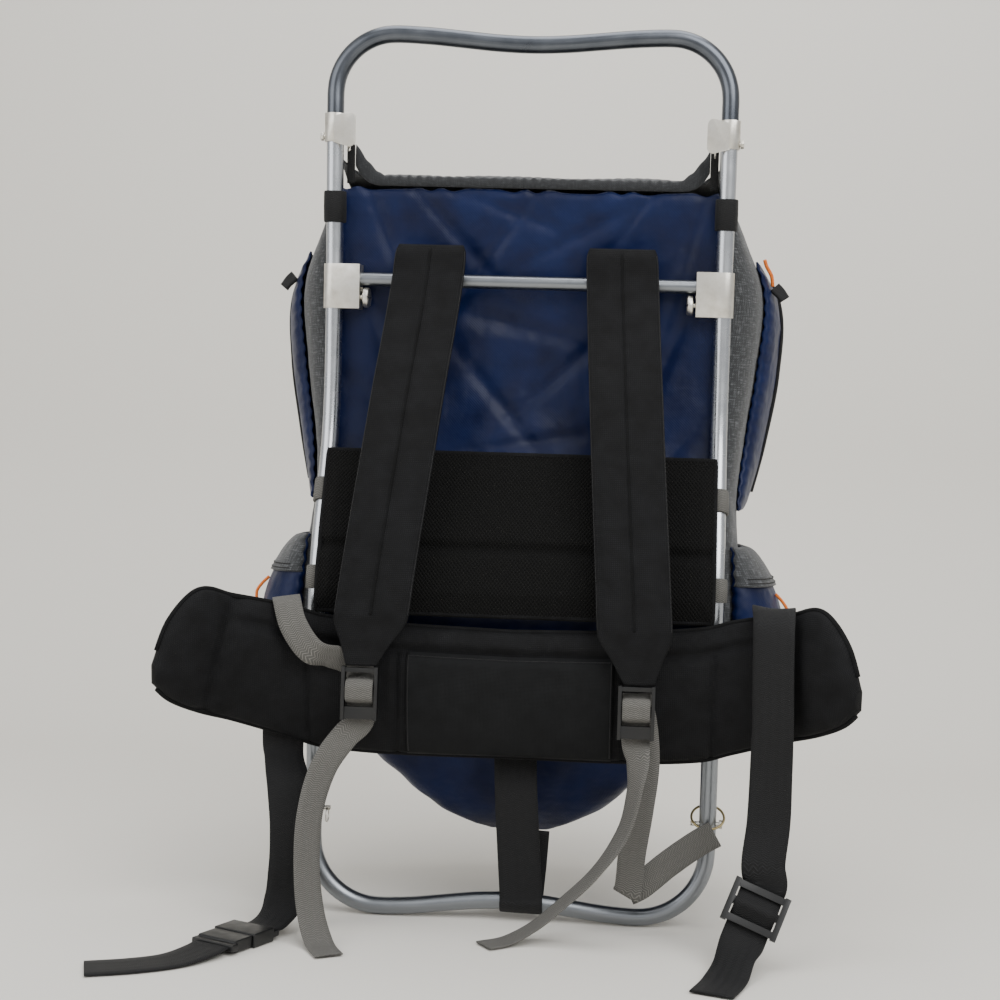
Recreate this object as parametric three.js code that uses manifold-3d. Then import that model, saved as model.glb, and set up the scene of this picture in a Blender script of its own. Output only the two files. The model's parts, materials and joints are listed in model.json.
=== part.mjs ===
// External frame backpack: a bent tube frame with a packed cloth bag behind it, and a back band,
// a padded hip belt and two shoulder pads in front of it.
// Millimetres, +Z up. The wearer stands on the -Y side, and left and right are as seen from there.
import * as THREE from 'three';
import { mergeVertices } from 'three/addons/utils/BufferGeometryUtils.js';
import Module from 'manifold-3d';

const wasm = await Module();
wasm.setup();

// Frame
const FRAME_HEIGHT = 836;
const FRAME_SPACING = 371; // between the centres of the two long tubes
const TUBE_DIAMETER = 16;
const FRAME_BEND = 40; // how far the waist of the frame stands in front of its chest
const TOP_CORNER = 56;
const TOP_DIP = 8;
const BOTTOM_CORNER = 64;
const BOTTOM_RISE = 10;
const HOOP_HEIGHT = 96; // from the joint of the main and the upper tubes to the frame's top
const LOWER_JOINT = 172;
const CROSSBAR_DROP = 140; // below the upper joint
const CROSSBAR_DIAMETER = 13;

// Fittings
const SLACK = 0.3; // clearance between pieces that touch
const SHEET_METAL = 1.5;
const COLLAR_HEIGHT = 26;
const EAR_WIDTH = 13;
const CLAMP_HEIGHT = 42;
const CLAMP_REACH = 26; // from the tube's centre to the clamp's inner edge
const CLAMP_DROP = 7; // clamp's middle below the crossbar
const SCREW_DROP = 17; // thumb screw below the crossbar
const SCREW_HEAD = 19;
const SCREW_NECK = 5;
const SCREW_RELIEF = 2.4; // bare neck between clamp and head
const SCREW_HEAD_DEPTH = 6;
const PIN_DIAMETER = 4.4;
const LOWER_PIN_HEIGHT = 98;
const SPLIT_RING = 13;
const RING_WIRE = 1.5;
const PIN_DROP = 8; // upper pin below the joint
const STRAP_RING = 31; // ring that carries the right lower strap
const STRAP_RING_WIRE = 3;

// Webbing and cloth
const WEBBING = 2;
const CLOTH = 2;
const NARROW_WEBBING = 25;
const WIDE_WEBBING = 38;
const BOTTOM_WEBBING = 40;

// Bag
const BAG_BOTTOM = 62;
const BAG_DROP = 50; // bag's top below the upper joint
const BASE_SEAM = 268;
const BAG_WIDTH = 368; // flat stretch between the side seams
const SIDE_BULGE = 50;
const BAG_DEPTH = 215;
const OUTER_CROWN = 30;
const BASE_TUCK = 96; // how far the bottom of the base lies behind the frame line
const FOLD_DEPTH = 5;
const LID_CROWN = 17;
const LID_SKIRT = 46;
const RIM_HEIGHT = 10;
const RIM_CORNER_RISE = 30;
const RIM_GATHER = 2.4;
const RIM_THICKNESS = 3;

// Pockets
const POCKET_GAP = 0.8;
const UPPER_POCKET_LOW = 390;
const UPPER_POCKET_DROP = 58; // pocket's top below the bag's
const UPPER_POCKET_BULGE = 22;
const LOWER_POCKET_LOW = 200;
const LOWER_POCKET_HIGH = 356;
const LOWER_POCKET_BULGE = 38;
const FLAP_DROP = 36;

// Harness
const BAND_LOW = 286;
const BAND_HIGH = 437;
const BAND_WIDTH = 366;
const BAND_THICKNESS = 9;
const BELT_LOW = 157;
const BELT_HEIGHT = 115;
const BELT_HALF = 308;
const BELT_THICKNESS = 23;
const BELT_SWEEP = 88; // how far the belt's tips reach forward of its back
const PATCH_WIDTH = 190;
const PATCH_HEIGHT = 94;
const PAD_WIDTH = 68;
const PAD_THICKNESS = 13;
const PAD_RISE = 32; // pad's top above the crossbar
const LOCK_WIDTH = 33;
const LOCK_HEIGHT = 48;
const LOCK_THICKNESS = 9;

const upperJoint = FRAME_HEIGHT - HOOP_HEIGHT;
const crossbarHeight = upperJoint - CROSSBAR_DROP;
const bagTop = upperJoint - BAG_DROP;
const upperPocketHigh = bagTop - UPPER_POCKET_DROP;
const padTop = crossbarHeight + PAD_RISE;
const tubeRadius = TUBE_DIAMETER / 2;
const tubeX = FRAME_SPACING / 2;
const barRadius = CROSSBAR_DIAMETER / 2;
const vec = (x, y, z) => new THREE.Vector3(x, y, z);

// Smooth curve through the rows of a table, read at one place of its first column.
function readTable(rows, key, column, place) {
  const last = rows.length - 1;
  if (place <= rows[0][key]) return rows[0][column];
  if (place >= rows[last][key]) return rows[last][column];
  const at = rows.findIndex((row) => row[key] > place) - 1;
  const slope = (i) => {
    const a = Math.max(i - 1, 0);
    const b = Math.min(i + 1, last);
    return (rows[b][column] - rows[a][column]) / (rows[b][key] - rows[a][key]);
  };
  const span = rows[at + 1][key] - rows[at][key];
  const t = (place - rows[at][key]) / span;
  const rise = rows[at + 1][column] - rows[at][column];
  const a = slope(at) * span - rise;
  const b = rise - slope(at + 1) * span;
  return rows[at][column] + t * rise + t * (1 - t) * (a * (1 - t) + b * t);
}

// Side view of the frame: height and forward reach as shares of the frame's height and bend.
const frameRows = [
  { up: 0, forward: 0.54 },
  { up: 0.16, forward: 0.58 },
  { up: 0.37, forward: 1 },
  { up: 0.55, forward: 0.02 },
  { up: 0.72, forward: 0.16 },
  { up: 0.9, forward: 0.6 },
  { up: 1, forward: 0.68 },
];
const frameLine = (z) => -FRAME_BEND * readTable(frameRows, 'up', 'forward', z / FRAME_HEIGHT);
const frameSlope = (z) => (frameLine(z + 1) - frameLine(z - 1)) / 2;
const heights = Array.from({ length: 60 }, (_, i) => (i / 60) * FRAME_HEIGHT);
const steepest = Math.max(...heights.map((z) => Math.hypot(1, frameSlope(z))));
// Cloth lies this far from the tubes' centre line, clear of the webbing loops around them.
const clothSet = (tubeRadius + SLACK + WEBBING) * steepest + SLACK;

// Closed solid with its faces turned outward.
function solid(points, faces) {
  const geometry = new THREE.BufferGeometry();
  const place = (i) => points[i];
  let volume = 0;
  for (const [a, b, c] of faces) {
    volume += place(a).dot(place(b).clone().cross(place(c)));
  }
  const turned = volume > 0 ? faces : faces.map(([a, b, c]) => [a, c, b]);
  geometry.setAttribute('position', new THREE.Float32BufferAttribute(points.flatMap((p) => p.toArray()), 3));
  geometry.setIndex(turned.flat());
  return geometry;
}

// Solid through a row of closed sections with equally many points. A looped row has no ends.
function loft(sections, looped = false) {
  const count = sections[0].length;
  const points = sections.flat();
  const faces = [];
  const rows = looped ? sections.length : sections.length - 1;
  for (let j = 0; j < rows; j += 1) {
    const next = (j + 1) % sections.length;
    for (let i = 0; i < count; i += 1) {
      const k = (i + 1) % count;
      faces.push([j * count + i, j * count + k, next * count + k]);
      faces.push([j * count + i, next * count + k, next * count + i]);
    }
  }
  if (!looped) {
    for (const j of [0, sections.length - 1]) {
      const centre = sections[j].reduce((sum, p) => sum.add(p), vec(0, 0, 0)).divideScalar(count);
      points.push(centre);
      for (let i = 0; i < count; i += 1) {
        const k = (i + 1) % count;
        const edge = j === 0 ? [j * count + k, j * count + i] : [j * count + i, j * count + k];
        faces.push([edge[0], edge[1], points.length - 1]);
      }
    }
  }
  return solid(points, faces);
}

// Wall between two grids of points, each a list of rows, joined along the rim.
function wall(outer, inner) {
  const rows = outer.length;
  const columns = outer[0].length;
  const points = [...outer.flat(), ...inner.flat()];
  const at = (layer, j, i) => layer * rows * columns + j * columns + i;
  const faces = [];
  const quad = (a, b, c, d) => faces.push([a, b, c], [a, c, d]);
  for (let j = 0; j < rows - 1; j += 1) {
    for (let i = 0; i < columns - 1; i += 1) {
      quad(at(0, j, i), at(0, j, i + 1), at(0, j + 1, i + 1), at(0, j + 1, i));
      quad(at(1, j, i), at(1, j + 1, i), at(1, j + 1, i + 1), at(1, j, i + 1));
    }
  }
  for (let i = 0; i < columns - 1; i += 1) {
    quad(at(1, 0, i), at(1, 0, i + 1), at(0, 0, i + 1), at(0, 0, i));
    quad(at(0, rows - 1, i), at(0, rows - 1, i + 1), at(1, rows - 1, i + 1), at(1, rows - 1, i));
  }
  for (let j = 0; j < rows - 1; j += 1) {
    quad(at(0, j, 0), at(0, j + 1, 0), at(1, j + 1, 0), at(1, j, 0));
    quad(at(1, j, columns - 1), at(1, j + 1, columns - 1), at(0, j + 1, columns - 1), at(0, j, columns - 1));
  }
  return solid(points, faces);
}

const steps = (count, low = 0, high = 1) =>
  Array.from({ length: count + 1 }, (_, i) => low + ((high - low) * i) / count);

// Tube with a round section along a curve.
function tube(curve, diameter, count, sides = 8) {
  const ring = new THREE.Shape(
    steps(sides).slice(0, sides).map((t) => {
      const angle = 2 * Math.PI * t;
      return new THREE.Vector2((diameter / 2) * Math.cos(angle), (diameter / 2) * Math.sin(angle));
    }),
  );
  return new THREE.ExtrudeGeometry(ring, { steps: count, extrudePath: curve });
}

// Webbing along a row of places, each with the direction of its width there.
function ribbon(rows, width, thickness = WEBBING, between = 3) {
  const route = new THREE.CatmullRomCurve3(rows.map((row) => vec(...row.at)), false, 'centripetal');
  const last = rows.length - 1;
  const sections = steps(last * between).map((t) => {
    const row = Math.min(Math.floor(t * last), last - 1);
    const edge = vec(...rows[row].edge).lerp(vec(...rows[row + 1].edge), t * last - row);
    const along = route.getTangent(t);
    edge.addScaledVector(along, -edge.dot(along)).normalize();
    const face = along.clone().cross(edge).multiplyScalar(thickness / 2);
    edge.multiplyScalar(width / 2);
    const corner = (a, b) => route.getPoint(t).addScaledVector(edge, a).addScaledVector(face, b);
    return [[corner(-1, -1), corner(1, -1)], [corner(-1, 1), corner(1, 1)]];
  });
  return wall(sections.map((section) => section[1]), sections.map((section) => section[0]));
}

function toManifold(geometry) {
  const bare = geometry.clone();
  bare.deleteAttribute('normal');
  bare.deleteAttribute('uv');
  const merged = mergeVertices(bare, 1e-4);
  const mesh = new wasm.Mesh({
    numProp: 3,
    vertProperties: Float32Array.from(merged.attributes.position.array),
    triVerts: Uint32Array.from(merged.index.array),
  });
  return new wasm.Manifold(mesh);
}

function fromManifold(body) {
  const mesh = body.getMesh();
  const geometry = new THREE.BufferGeometry();
  geometry.setAttribute('position', new THREE.BufferAttribute(mesh.vertProperties, 3));
  geometry.setIndex(new THREE.BufferAttribute(mesh.triVerts, 1));
  return geometry;
}

const joined = (first, ...others) =>
  fromManifold(others.reduce((sum, part) => sum.add(toManifold(part)), toManifold(first)));
const cut = (first, ...others) =>
  fromManifold(others.reduce((rest, part) => rest.subtract(toManifold(part)), toManifold(first)));

// Rod along X between two places.
function rodX(from, to, diameter, y = 0, z = 0, sides = 16) {
  const rod = new THREE.CylinderGeometry(diameter / 2, diameter / 2, Math.abs(to - from), sides);
  rod.rotateZ(Math.PI / 2);
  rod.translate((from + to) / 2, y, z);
  return rod;
}

// Box between two corners.
function boxOf(low, high) {
  const box = new THREE.BoxGeometry(high[0] - low[0], high[1] - low[1], high[2] - low[2]);
  box.translate((low[0] + high[0]) / 2, (low[1] + high[1]) / 2, (low[2] + high[2]) / 2);
  return box;
}

// Sleeve around a long tube: inner and outer radius, and its height range.
function sleeve(side, low, high, inner, outer, sides = 12) {
  const flats = Math.cos(Math.PI / sides);
  const tilt = (z, radius, angle) => {
    const back = vec(0, 1, -frameSlope(z)).normalize();
    const centre = vec(side * tubeX, frameLine(z), z);
    const reach = radius / flats;
    return centre.add(vec(reach * Math.cos(angle), 0, 0)).addScaledVector(back, reach * Math.sin(angle));
  };
  const sections = steps(sides).slice(0, sides).map((t) => {
    const angle = 2 * Math.PI * t;
    const bottom = [tilt(low, inner, angle), tilt(low, outer, angle)];
    return [...bottom, tilt(high, outer, angle), tilt(high, inner, angle)];
  });
  return loft(sections, true);
}

const pack = new THREE.Group();

const finishes = {
  darkTube: { color: '#6f757c', metalness: 1, roughness: 0.3 },
  brightTube: { color: '#c9ccd0', metalness: 1, roughness: 0.18 },
  satinTube: { color: '#85898d', metalness: 1, roughness: 0.35 },
  nickel: { color: '#c4c0b4', metalness: 1, roughness: 0.25 },
  brass: { color: '#c2ad72', metalness: 1, roughness: 0.3 },
  blueCloth: { color: '#1d3a78', metalness: 0, roughness: 0.7 },
  greyCloth: { color: '#5a5c5f', metalness: 0, roughness: 0.85 },
  blackCloth: { color: '#17181a', metalness: 0, roughness: 0.85 },
  blackMesh: { color: '#141516', metalness: 0, roughness: 0.95 },
  blackWebbing: { color: '#151619', metalness: 0, roughness: 0.8 },
  greyWebbing: { color: '#6d6c68', metalness: 0, roughness: 0.85 },
  blackPlastic: { color: '#1b1c1f', metalness: 0, roughness: 0.45 },
  orangeCord: { color: '#e0701c', metalness: 0, roughness: 0.8 },
};

function add(name, geometry, finish) {
  const bare = geometry.clone();
  bare.deleteAttribute('uv');
  const mesh = new THREE.Mesh(bare, new THREE.MeshStandardMaterial(finishes[finish]));
  mesh.name = name;
  pack.add(mesh);
  return mesh;
}

const sides = [
  { name: 'left', side: -1 },
  { name: 'right', side: 1 },
];

// Pins through the tubes
const ringX = tubeX - tubeRadius - 5;
const pinHeight = upperJoint - PIN_DROP;
const pinBore = (side, height) =>
  rodX(side * (tubeX - 12), side * (tubeX + 12), PIN_DIAMETER + 2 * SLACK, frameLine(height), height, 12);

// Frame tubes
// One U of tube: legs at the tubes' places, round corners and a bar that bows by a little.
function hoop(legEnd, barZ, corner, bow) {
  const up = Math.sign(barZ - legEnd);
  const points = [];
  const put = (x, z) => points.push(vec(x, frameLine(z), z));
  const legs = steps(3, legEnd, barZ - up * corner);
  const turns = steps(6, 0, Math.PI / 2);
  const flat = tubeX - corner;
  const turn = (side, a) => put(side * (flat + corner * Math.cos(a)), barZ - up * corner * (1 - Math.sin(a)));
  legs.forEach((z) => put(-tubeX, z));
  turns.slice(1).forEach((a) => turn(-1, a));
  for (const share of steps(8, -1, 1).slice(1, -1)) {
    put(flat * share, barZ - up * bow * Math.cos((Math.PI / 2) * share) ** 2);
  }
  turns.slice(1).reverse().forEach((a) => turn(1, a));
  legs.reverse().forEach((z) => put(tubeX, z));
  return new THREE.CatmullRomCurve3(points, false, 'centripetal');
}

const topBar = FRAME_HEIGHT - tubeRadius;
const upperHoop = tube(hoop(upperJoint + SLACK, topBar, TOP_CORNER, TOP_DIP), TUBE_DIAMETER, 28);
add('upper_frame_tube', upperHoop, 'darkTube');
const lowerHoop = tube(hoop(LOWER_JOINT - SLACK, tubeRadius, BOTTOM_CORNER, BOTTOM_RISE), TUBE_DIAMETER, 30);
const lowerBores = sides.map(({ side }) => pinBore(side, LOWER_PIN_HEIGHT));
add('lower_frame_tube', cut(lowerHoop, ...lowerBores), 'satinTube');
for (const { name, side } of sides) {
  const line = steps(16, LOWER_JOINT, upperJoint).map((z) => vec(side * tubeX, frameLine(z), z));
  const leg = tube(new THREE.CatmullRomCurve3(line), TUBE_DIAMETER, 20);
  add(`main_tube_${name}`, cut(leg, pinBore(side, pinHeight)), 'brightTube');
}

// Crossbar between its two clamps
const clampInner = tubeX - CLAMP_REACH;
const barEnd = tubeX - tubeRadius - 2;
const barY = frameLine(crossbarHeight);
add('crossbar', rodX(-barEnd, barEnd, CROSSBAR_DIAMETER, barY, crossbarHeight), 'satinTube');

// Clamp about its tube's centre line, with +X to the inner side: sheet wrapped round the tube, and a
// block between the sheet's two flat ends that holds the bar and the thumb screw.
function clampShape() {
  const inner = tubeRadius + SLACK;
  const outer = inner + SHEET_METAL;
  const shape = new THREE.Shape();
  shape.moveTo(CLAMP_REACH, outer);
  shape.lineTo(0, outer);
  shape.absarc(0, 0, outer, Math.PI / 2, 1.5 * Math.PI, false);
  shape.lineTo(CLAMP_REACH, -outer);
  shape.lineTo(CLAMP_REACH, outer);
  const bore = new THREE.Path();
  bore.absarc(0, 0, inner, 0, 2 * Math.PI, false);
  shape.holes.push(bore);
  const body = new THREE.ExtrudeGeometry(shape, { depth: CLAMP_HEIGHT, bevelEnabled: false, curveSegments: 8 });
  body.translate(0, 0, -CLAMP_HEIGHT / 2 - CLAMP_DROP);
  const bar = rodX(0, CLAMP_REACH + 1, CROSSBAR_DIAMETER + 2 * SLACK);
  const screw = rodX(0, CLAMP_REACH + 1, SCREW_NECK + 2 * SLACK, 0, -SCREW_DROP);
  const window = boxOf([CLAMP_REACH - 9, -inner, -SCREW_DROP + 6], [CLAMP_REACH + 1, inner, -barRadius - 1]);
  return cut(body, bar, screw, window);
}
const clampTilt = Math.atan(-frameSlope(crossbarHeight));
for (const { name, side } of sides) {
  const clamp = add(`crossbar_clamp_${name}`, clampShape(), 'nickel');
  clamp.position.set(side * tubeX, frameLine(crossbarHeight), crossbarHeight);
  clamp.rotation.set(clampTilt, 0, side > 0 ? Math.PI : 0);

  const profile = [
    [0, 0],
    [SCREW_NECK / 2, 0],
    [SCREW_NECK / 2, CLAMP_REACH - tubeRadius - 2 + SCREW_RELIEF],
    [SCREW_HEAD / 2 - 1, CLAMP_REACH - tubeRadius - 2 + SCREW_RELIEF],
    [SCREW_HEAD / 2, CLAMP_REACH - tubeRadius - 1 + SCREW_RELIEF],
    [SCREW_HEAD / 2, CLAMP_REACH - tubeRadius - 3 + SCREW_RELIEF + SCREW_HEAD_DEPTH],
    [SCREW_HEAD / 2 - 1, CLAMP_REACH - tubeRadius - 2 + SCREW_RELIEF + SCREW_HEAD_DEPTH],
    [0, CLAMP_REACH - tubeRadius - 2 + SCREW_RELIEF + SCREW_HEAD_DEPTH],
  ];
  const turned = new THREE.LatheGeometry(profile.map(([r, h]) => new THREE.Vector2(r, h)), 14);
  turned.rotateZ(-Math.PI / 2);
  const headFace = CLAMP_REACH - tubeRadius - 2 + SCREW_RELIEF + SCREW_HEAD_DEPTH;
  const slot = boxOf([headFace - 1.2, -SCREW_HEAD, -0.8], [headFace + 1, SCREW_HEAD, 0.8]);
  const screw = add(`thumb_screw_${name}`, cut(turned, slot), 'nickel');
  const drop = vec(0, 0, -SCREW_DROP).applyAxisAngle(vec(1, 0, 0), clampTilt);
  screw.position.set(side * (tubeX - tubeRadius - 2), frameLine(crossbarHeight), crossbarHeight).add(drop);
  screw.rotation.set(clampTilt, 0, side > 0 ? Math.PI : 0);
}

// Collars over the upper joint, with a flat ear on the inner side, and a pin through tube and collar
for (const { name, side } of sides) {
  const inner = tubeRadius + SLACK;
  const outer = inner + SHEET_METAL;
  const low = upperJoint - COLLAR_HEIGHT / 2;
  const plateY = -inner - SHEET_METAL / 2;
  const ear = new THREE.Shape();
  const reach = tubeRadius + EAR_WIDTH;
  ear.moveTo(0, 12);
  ear.lineTo(reach - 6, 16);
  ear.absarc(reach - 6, 10, 6, Math.PI / 2, 0, true);
  ear.lineTo(reach, -10);
  ear.absarc(reach - 6, -10, 6, 0, -Math.PI / 2, true);
  ear.lineTo(0, -12);
  const plate = new THREE.ExtrudeGeometry(ear, { depth: SHEET_METAL, bevelEnabled: false, curveSegments: 4 });
  plate.rotateX(Math.PI / 2);
  plate.translate(0, SHEET_METAL / 2, 0);
  plate.rotateZ(side > 0 ? Math.PI : 0);
  plate.translate(0, plateY, 0);
  plate.rotateX(Math.atan(-frameSlope(upperJoint)));
  plate.translate(side * tubeX, frameLine(upperJoint - 2), upperJoint - 2);
  const wrap = sleeve(side, low, low + COLLAR_HEIGHT, inner, outer);
  const pinHole = rodX(side * (tubeX - 30), side * (tubeX + 30), PIN_DIAMETER + 2 * SLACK, frameLine(pinHeight),
    pinHeight, 12);
  add(`collar_${name}`, cut(joined(wrap, plate), pinHole), 'nickel');
}

// Clevis pins: a head outside, a shank through the tube, and a drilled end that holds a split ring
function clevisPin(side, height) {
  const y = frameLine(height);
  const outside = tubeX + tubeRadius + SHEET_METAL + 4 * SLACK;
  const head = rodX(side * outside, side * (outside + 3), PIN_DIAMETER + 4, y, height, 8);
  const shank = rodX(side * (outside + 1), side * (ringX - 3), PIN_DIAMETER, y, height, 8);
  const eye = new THREE.CylinderGeometry(RING_WIRE * 0.9, RING_WIRE * 0.9, 2 * PIN_DIAMETER, 6);
  eye.translate(side * ringX, y, height);
  return cut(joined(head, shank), eye);
}

function splitRing(side, height) {
  const ring = new THREE.TorusGeometry(SPLIT_RING / 2, RING_WIRE / 2, 4, 12);
  ring.rotateY(Math.PI / 2);
  ring.translate(side * ringX, frameLine(height), height - SPLIT_RING / 2);
  return ring;
}

for (const { name, side } of sides) {
  add(`upper_pin_${name}`, clevisPin(side, pinHeight), 'nickel');
  add(`upper_ring_${name}`, splitRing(side, pinHeight), 'nickel');
  add(`lower_pin_${name}`, clevisPin(side, LOWER_PIN_HEIGHT), 'nickel');
}
add('lower_ring_left', splitRing(-1, LOWER_PIN_HEIGHT), 'nickel');

// Ring round the right leg, resting on its pin and tipped forward by the strap it carries
const ringTip = THREE.MathUtils.degToRad(35);
const ringZ = LOWER_PIN_HEIGHT + (PIN_DIAMETER / 2 + 5 * SLACK + STRAP_RING_WIRE / 2) / Math.cos(ringTip);
const strapRing = new THREE.TorusGeometry(STRAP_RING / 2, STRAP_RING_WIRE / 2, 5, 18);
strapRing.rotateX(ringTip);
strapRing.translate(tubeX, frameLine(LOWER_PIN_HEIGHT), ringZ);
add('strap_ring_right', strapRing, 'brass');

// Webbing loops round the long tubes: black sleeves near the top, grey tapes lower down
const between = (low, high, share) => low + (high - low) * share;
const clampTop = crossbarHeight - CLAMP_DROP + CLAMP_HEIGHT / 2;
const collarLow = upperJoint - COLLAR_HEIGHT / 2;
const loopRows = [
  { name: 'tube_sleeve', height: between(clampTop, collarLow, 0.469), length: 29, finish: 'blackWebbing' },
  { name: 'upper_side_loop', height: between(BAND_LOW, BAND_HIGH, 0.735), length: 21, finish: 'greyWebbing' },
  { name: 'lower_side_loop', height: between(BAND_LOW, BAND_HIGH, 0.2), length: 21, finish: 'greyWebbing' },
];
const loopInner = tubeRadius + 2 * SLACK;
const loopOuter = loopInner + WEBBING;
for (const row of loopRows) {
  for (const { name, side } of sides) {
    const loop = sleeve(side, row.height - row.length / 2, row.height + row.length / 2, loopInner, loopOuter);
    add(`${row.name}_${name}`, loop, row.finish);
  }
}

// Bag: a closed outline at each height, of a flat front, a bulging side, a crowned outer face and a side
const bagRows = [
  { up: 0, half: 0.13, side: 0.2, tuck: 1, depth: 0.28, crown: 0.1 },
  { up: 0.018, half: 0.24, side: 0.3, tuck: 0.8, depth: 0.45, crown: 0.3 },
  { up: 0.046, half: 0.36, side: 0.45, tuck: 0.58, depth: 0.62, crown: 0.5 },
  { up: 0.104, half: 0.53, side: 0.6, tuck: 0.32, depth: 0.8, crown: 0.75 },
  { up: 0.188, half: 0.76, side: 0.72, tuck: 0.08, depth: 0.95, crown: 0.95 },
  { up: 0.328, half: 0.98, side: 0.66, tuck: 0, depth: 1, crown: 1 },
  { up: 0.427, half: 1, side: 0.58, tuck: 0, depth: 0.99, crown: 0.95 },
  { up: 0.538, half: 1, side: 0.48, tuck: 0, depth: 0.98, crown: 0.95 },
  { up: 0.634, half: 1, side: 0.62, tuck: 0, depth: 1, crown: 1 },
  { up: 0.745, half: 1, side: 0.84, tuck: 0, depth: 1, crown: 1 },
  { up: 0.857, half: 1, side: 0.94, tuck: 0, depth: 0.98, crown: 0.9 },
  { up: 0.944, half: 1, side: 0.5, tuck: 0, depth: 0.9, crown: 0.7 },
  { up: 1, half: 1, side: 0.08, tuck: 0, depth: 0.76, crown: 0.4 },
];
// Creases of the front cloth: place and length as shares of the half width and the height.
const foldRows = [
  { across: -0.55, up: 0.9, length: 0.5, lean: -0.35, depth: 1 },
  { across: 0.1, up: 0.84, length: 0.6, lean: 0.2, depth: 0.8 },
  { across: 0.62, up: 0.91, length: 0.4, lean: 0.5, depth: 1 },
  { across: -0.25, up: 0.72, length: 0.45, lean: 0.15, depth: 0.7 },
  { across: 0.4, up: 0.64, length: 0.5, lean: -0.25, depth: 0.9 },
  { across: -0.5, up: 0.6, length: 0.4, lean: 0.6, depth: 0.8 },
];
const bagSet = clothSet + 1;
const bagHeight = bagTop - BAG_BOTTOM;
const seam = SLACK / 2;

function bagFold(share, up) {
  const fade = (1 - share ** 2) ** 0.7;
  return foldRows.reduce((sum, row) => {
    const x = share - row.across;
    const z = (up - row.up) * 2;
    const along = x * Math.cos(row.lean) + z * Math.sin(row.lean);
    const off = z * Math.cos(row.lean) - x * Math.sin(row.lean);
    return sum + FOLD_DEPTH * row.depth * fade * Math.exp(-((along / row.length) ** 2) - (off / 0.09) ** 2);
  }, 0);
}

function bagSize(z) {
  const up = (z - BAG_BOTTOM) / bagHeight;
  const read = (column) => readTable(bagRows, 'up', column, up);
  return {
    up,
    half: (BAG_WIDTH / 2) * read('half'),
    side: SIDE_BULGE * read('side'),
    front: frameLine(z) + bagSet + BASE_TUCK * read('tuck'),
    depth: BAG_DEPTH * read('depth'),
    crown: OUTER_CROWN * read('crown'),
  };
}

const boxy = 0.7; // power that squares the round of the sides
function frontPoint(share, z, inset = seam) {
  const size = bagSize(z);
  return vec((size.half - inset) * share, size.front + bagFold(share, size.up), z);
}
function sidePoint(side, share, z, inset = seam) {
  const size = bagSize(z);
  const turn = Math.cos(Math.PI * share);
  const back = (size.depth / 2) * (1 - Math.sign(turn) * Math.abs(turn) ** boxy);
  const out = size.side * Math.abs(Math.sin(Math.PI * share)) ** boxy;
  return vec(side * (size.half + inset + out), size.front + back, z);
}
function outerPoint(share, z, inset = seam) {
  const size = bagSize(z);
  const crown = size.crown * Math.cos((Math.PI / 2) * share) ** boxy;
  return vec((size.half - inset) * share, size.front + size.depth + crown, z);
}
const bagCore = (z) => vec(0, bagSize(z).front + bagSize(z).depth / 2, z);

// Level direction out of the bag at a place of one of its faces, whose shares run from low to high
function levelOut(surface, share, z, low, high) {
  const small = 0.01;
  const ahead = surface(Math.min(share + small, high), z);
  const across = ahead.sub(surface(Math.max(share - small, low), z));
  const out = vec(across.y, -across.x, 0).normalize();
  return out.dot(surface(share, z).sub(bagCore(z))) < 0 ? out.negate() : out;
}

// Cloth wall over a face of the bag, lifted off it by so much at each place
function cloth(surface, shares, levels, lift = () => -CLOTH) {
  const ends = [shares[0], shares[shares.length - 1]];
  const layer = (thickness) =>
    levels.map((z) =>
      shares.map((share) => {
        const out = levelOut(surface, share, z, ...ends);
        return surface(share, z).addScaledVector(out, lift(share, z) + thickness);
      }),
    );
  return wall(layer(CLOTH), layer(0));
}

const panelLevels = steps(12, BASE_SEAM + seam, bagTop);
add('bag_back_panel', cloth(frontPoint, steps(10, -1, 1), panelLevels), 'blueCloth');
add('bag_outer_panel', cloth(outerPoint, steps(6, -1, 1), panelLevels), 'blueCloth');
for (const { name, side } of sides) {
  const surface = (share, z) => sidePoint(side, share, z);
  add(`side_gusset_${name}`, cloth(surface, steps(8), panelLevels), 'greyCloth');
}

// Lower compartment: an open cup of the same outline, closed at the bottom
function baseRing(z, shrink) {
  const ring = [
    ...steps(6, -1, 1).slice(0, 6).map((s) => frontPoint(s, z, 0)),
    ...steps(6).slice(0, 6).map((s) => sidePoint(1, s, z, 0)),
    ...steps(6, 1, -1).slice(0, 6).map((s) => outerPoint(s, z, 0)),
    ...steps(6, 1, 0).slice(0, 6).map((s) => sidePoint(-1, s, z, 0)),
  ];
  const core = bagCore(z);
  return ring.map((point) => {
    const inward = core.clone().sub(point).setZ(0);
    return point.clone().addScaledVector(inward.normalize(), shrink);
  });
}
const cupLevels = [0, 0.06, 0.2, 0.4, 0.7, 1].map((s) => BAG_BOTTOM + s * (BASE_SEAM - seam - BAG_BOTTOM));
const innerFloor = baseRing(cupLevels[0], 3 * CLOTH).map((point) => point.setZ(BAG_BOTTOM + CLOTH));
const cup = [
  ...cupLevels.map((z) => baseRing(z, 0)),
  ...[...cupLevels].reverse().slice(0, -1).map((z) => baseRing(z, CLOTH * (z > cupLevels[2] ? 1.2 : 2.6))),
  innerFloor,
];
add('base_compartment', loft(cup), 'blueCloth');

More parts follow.
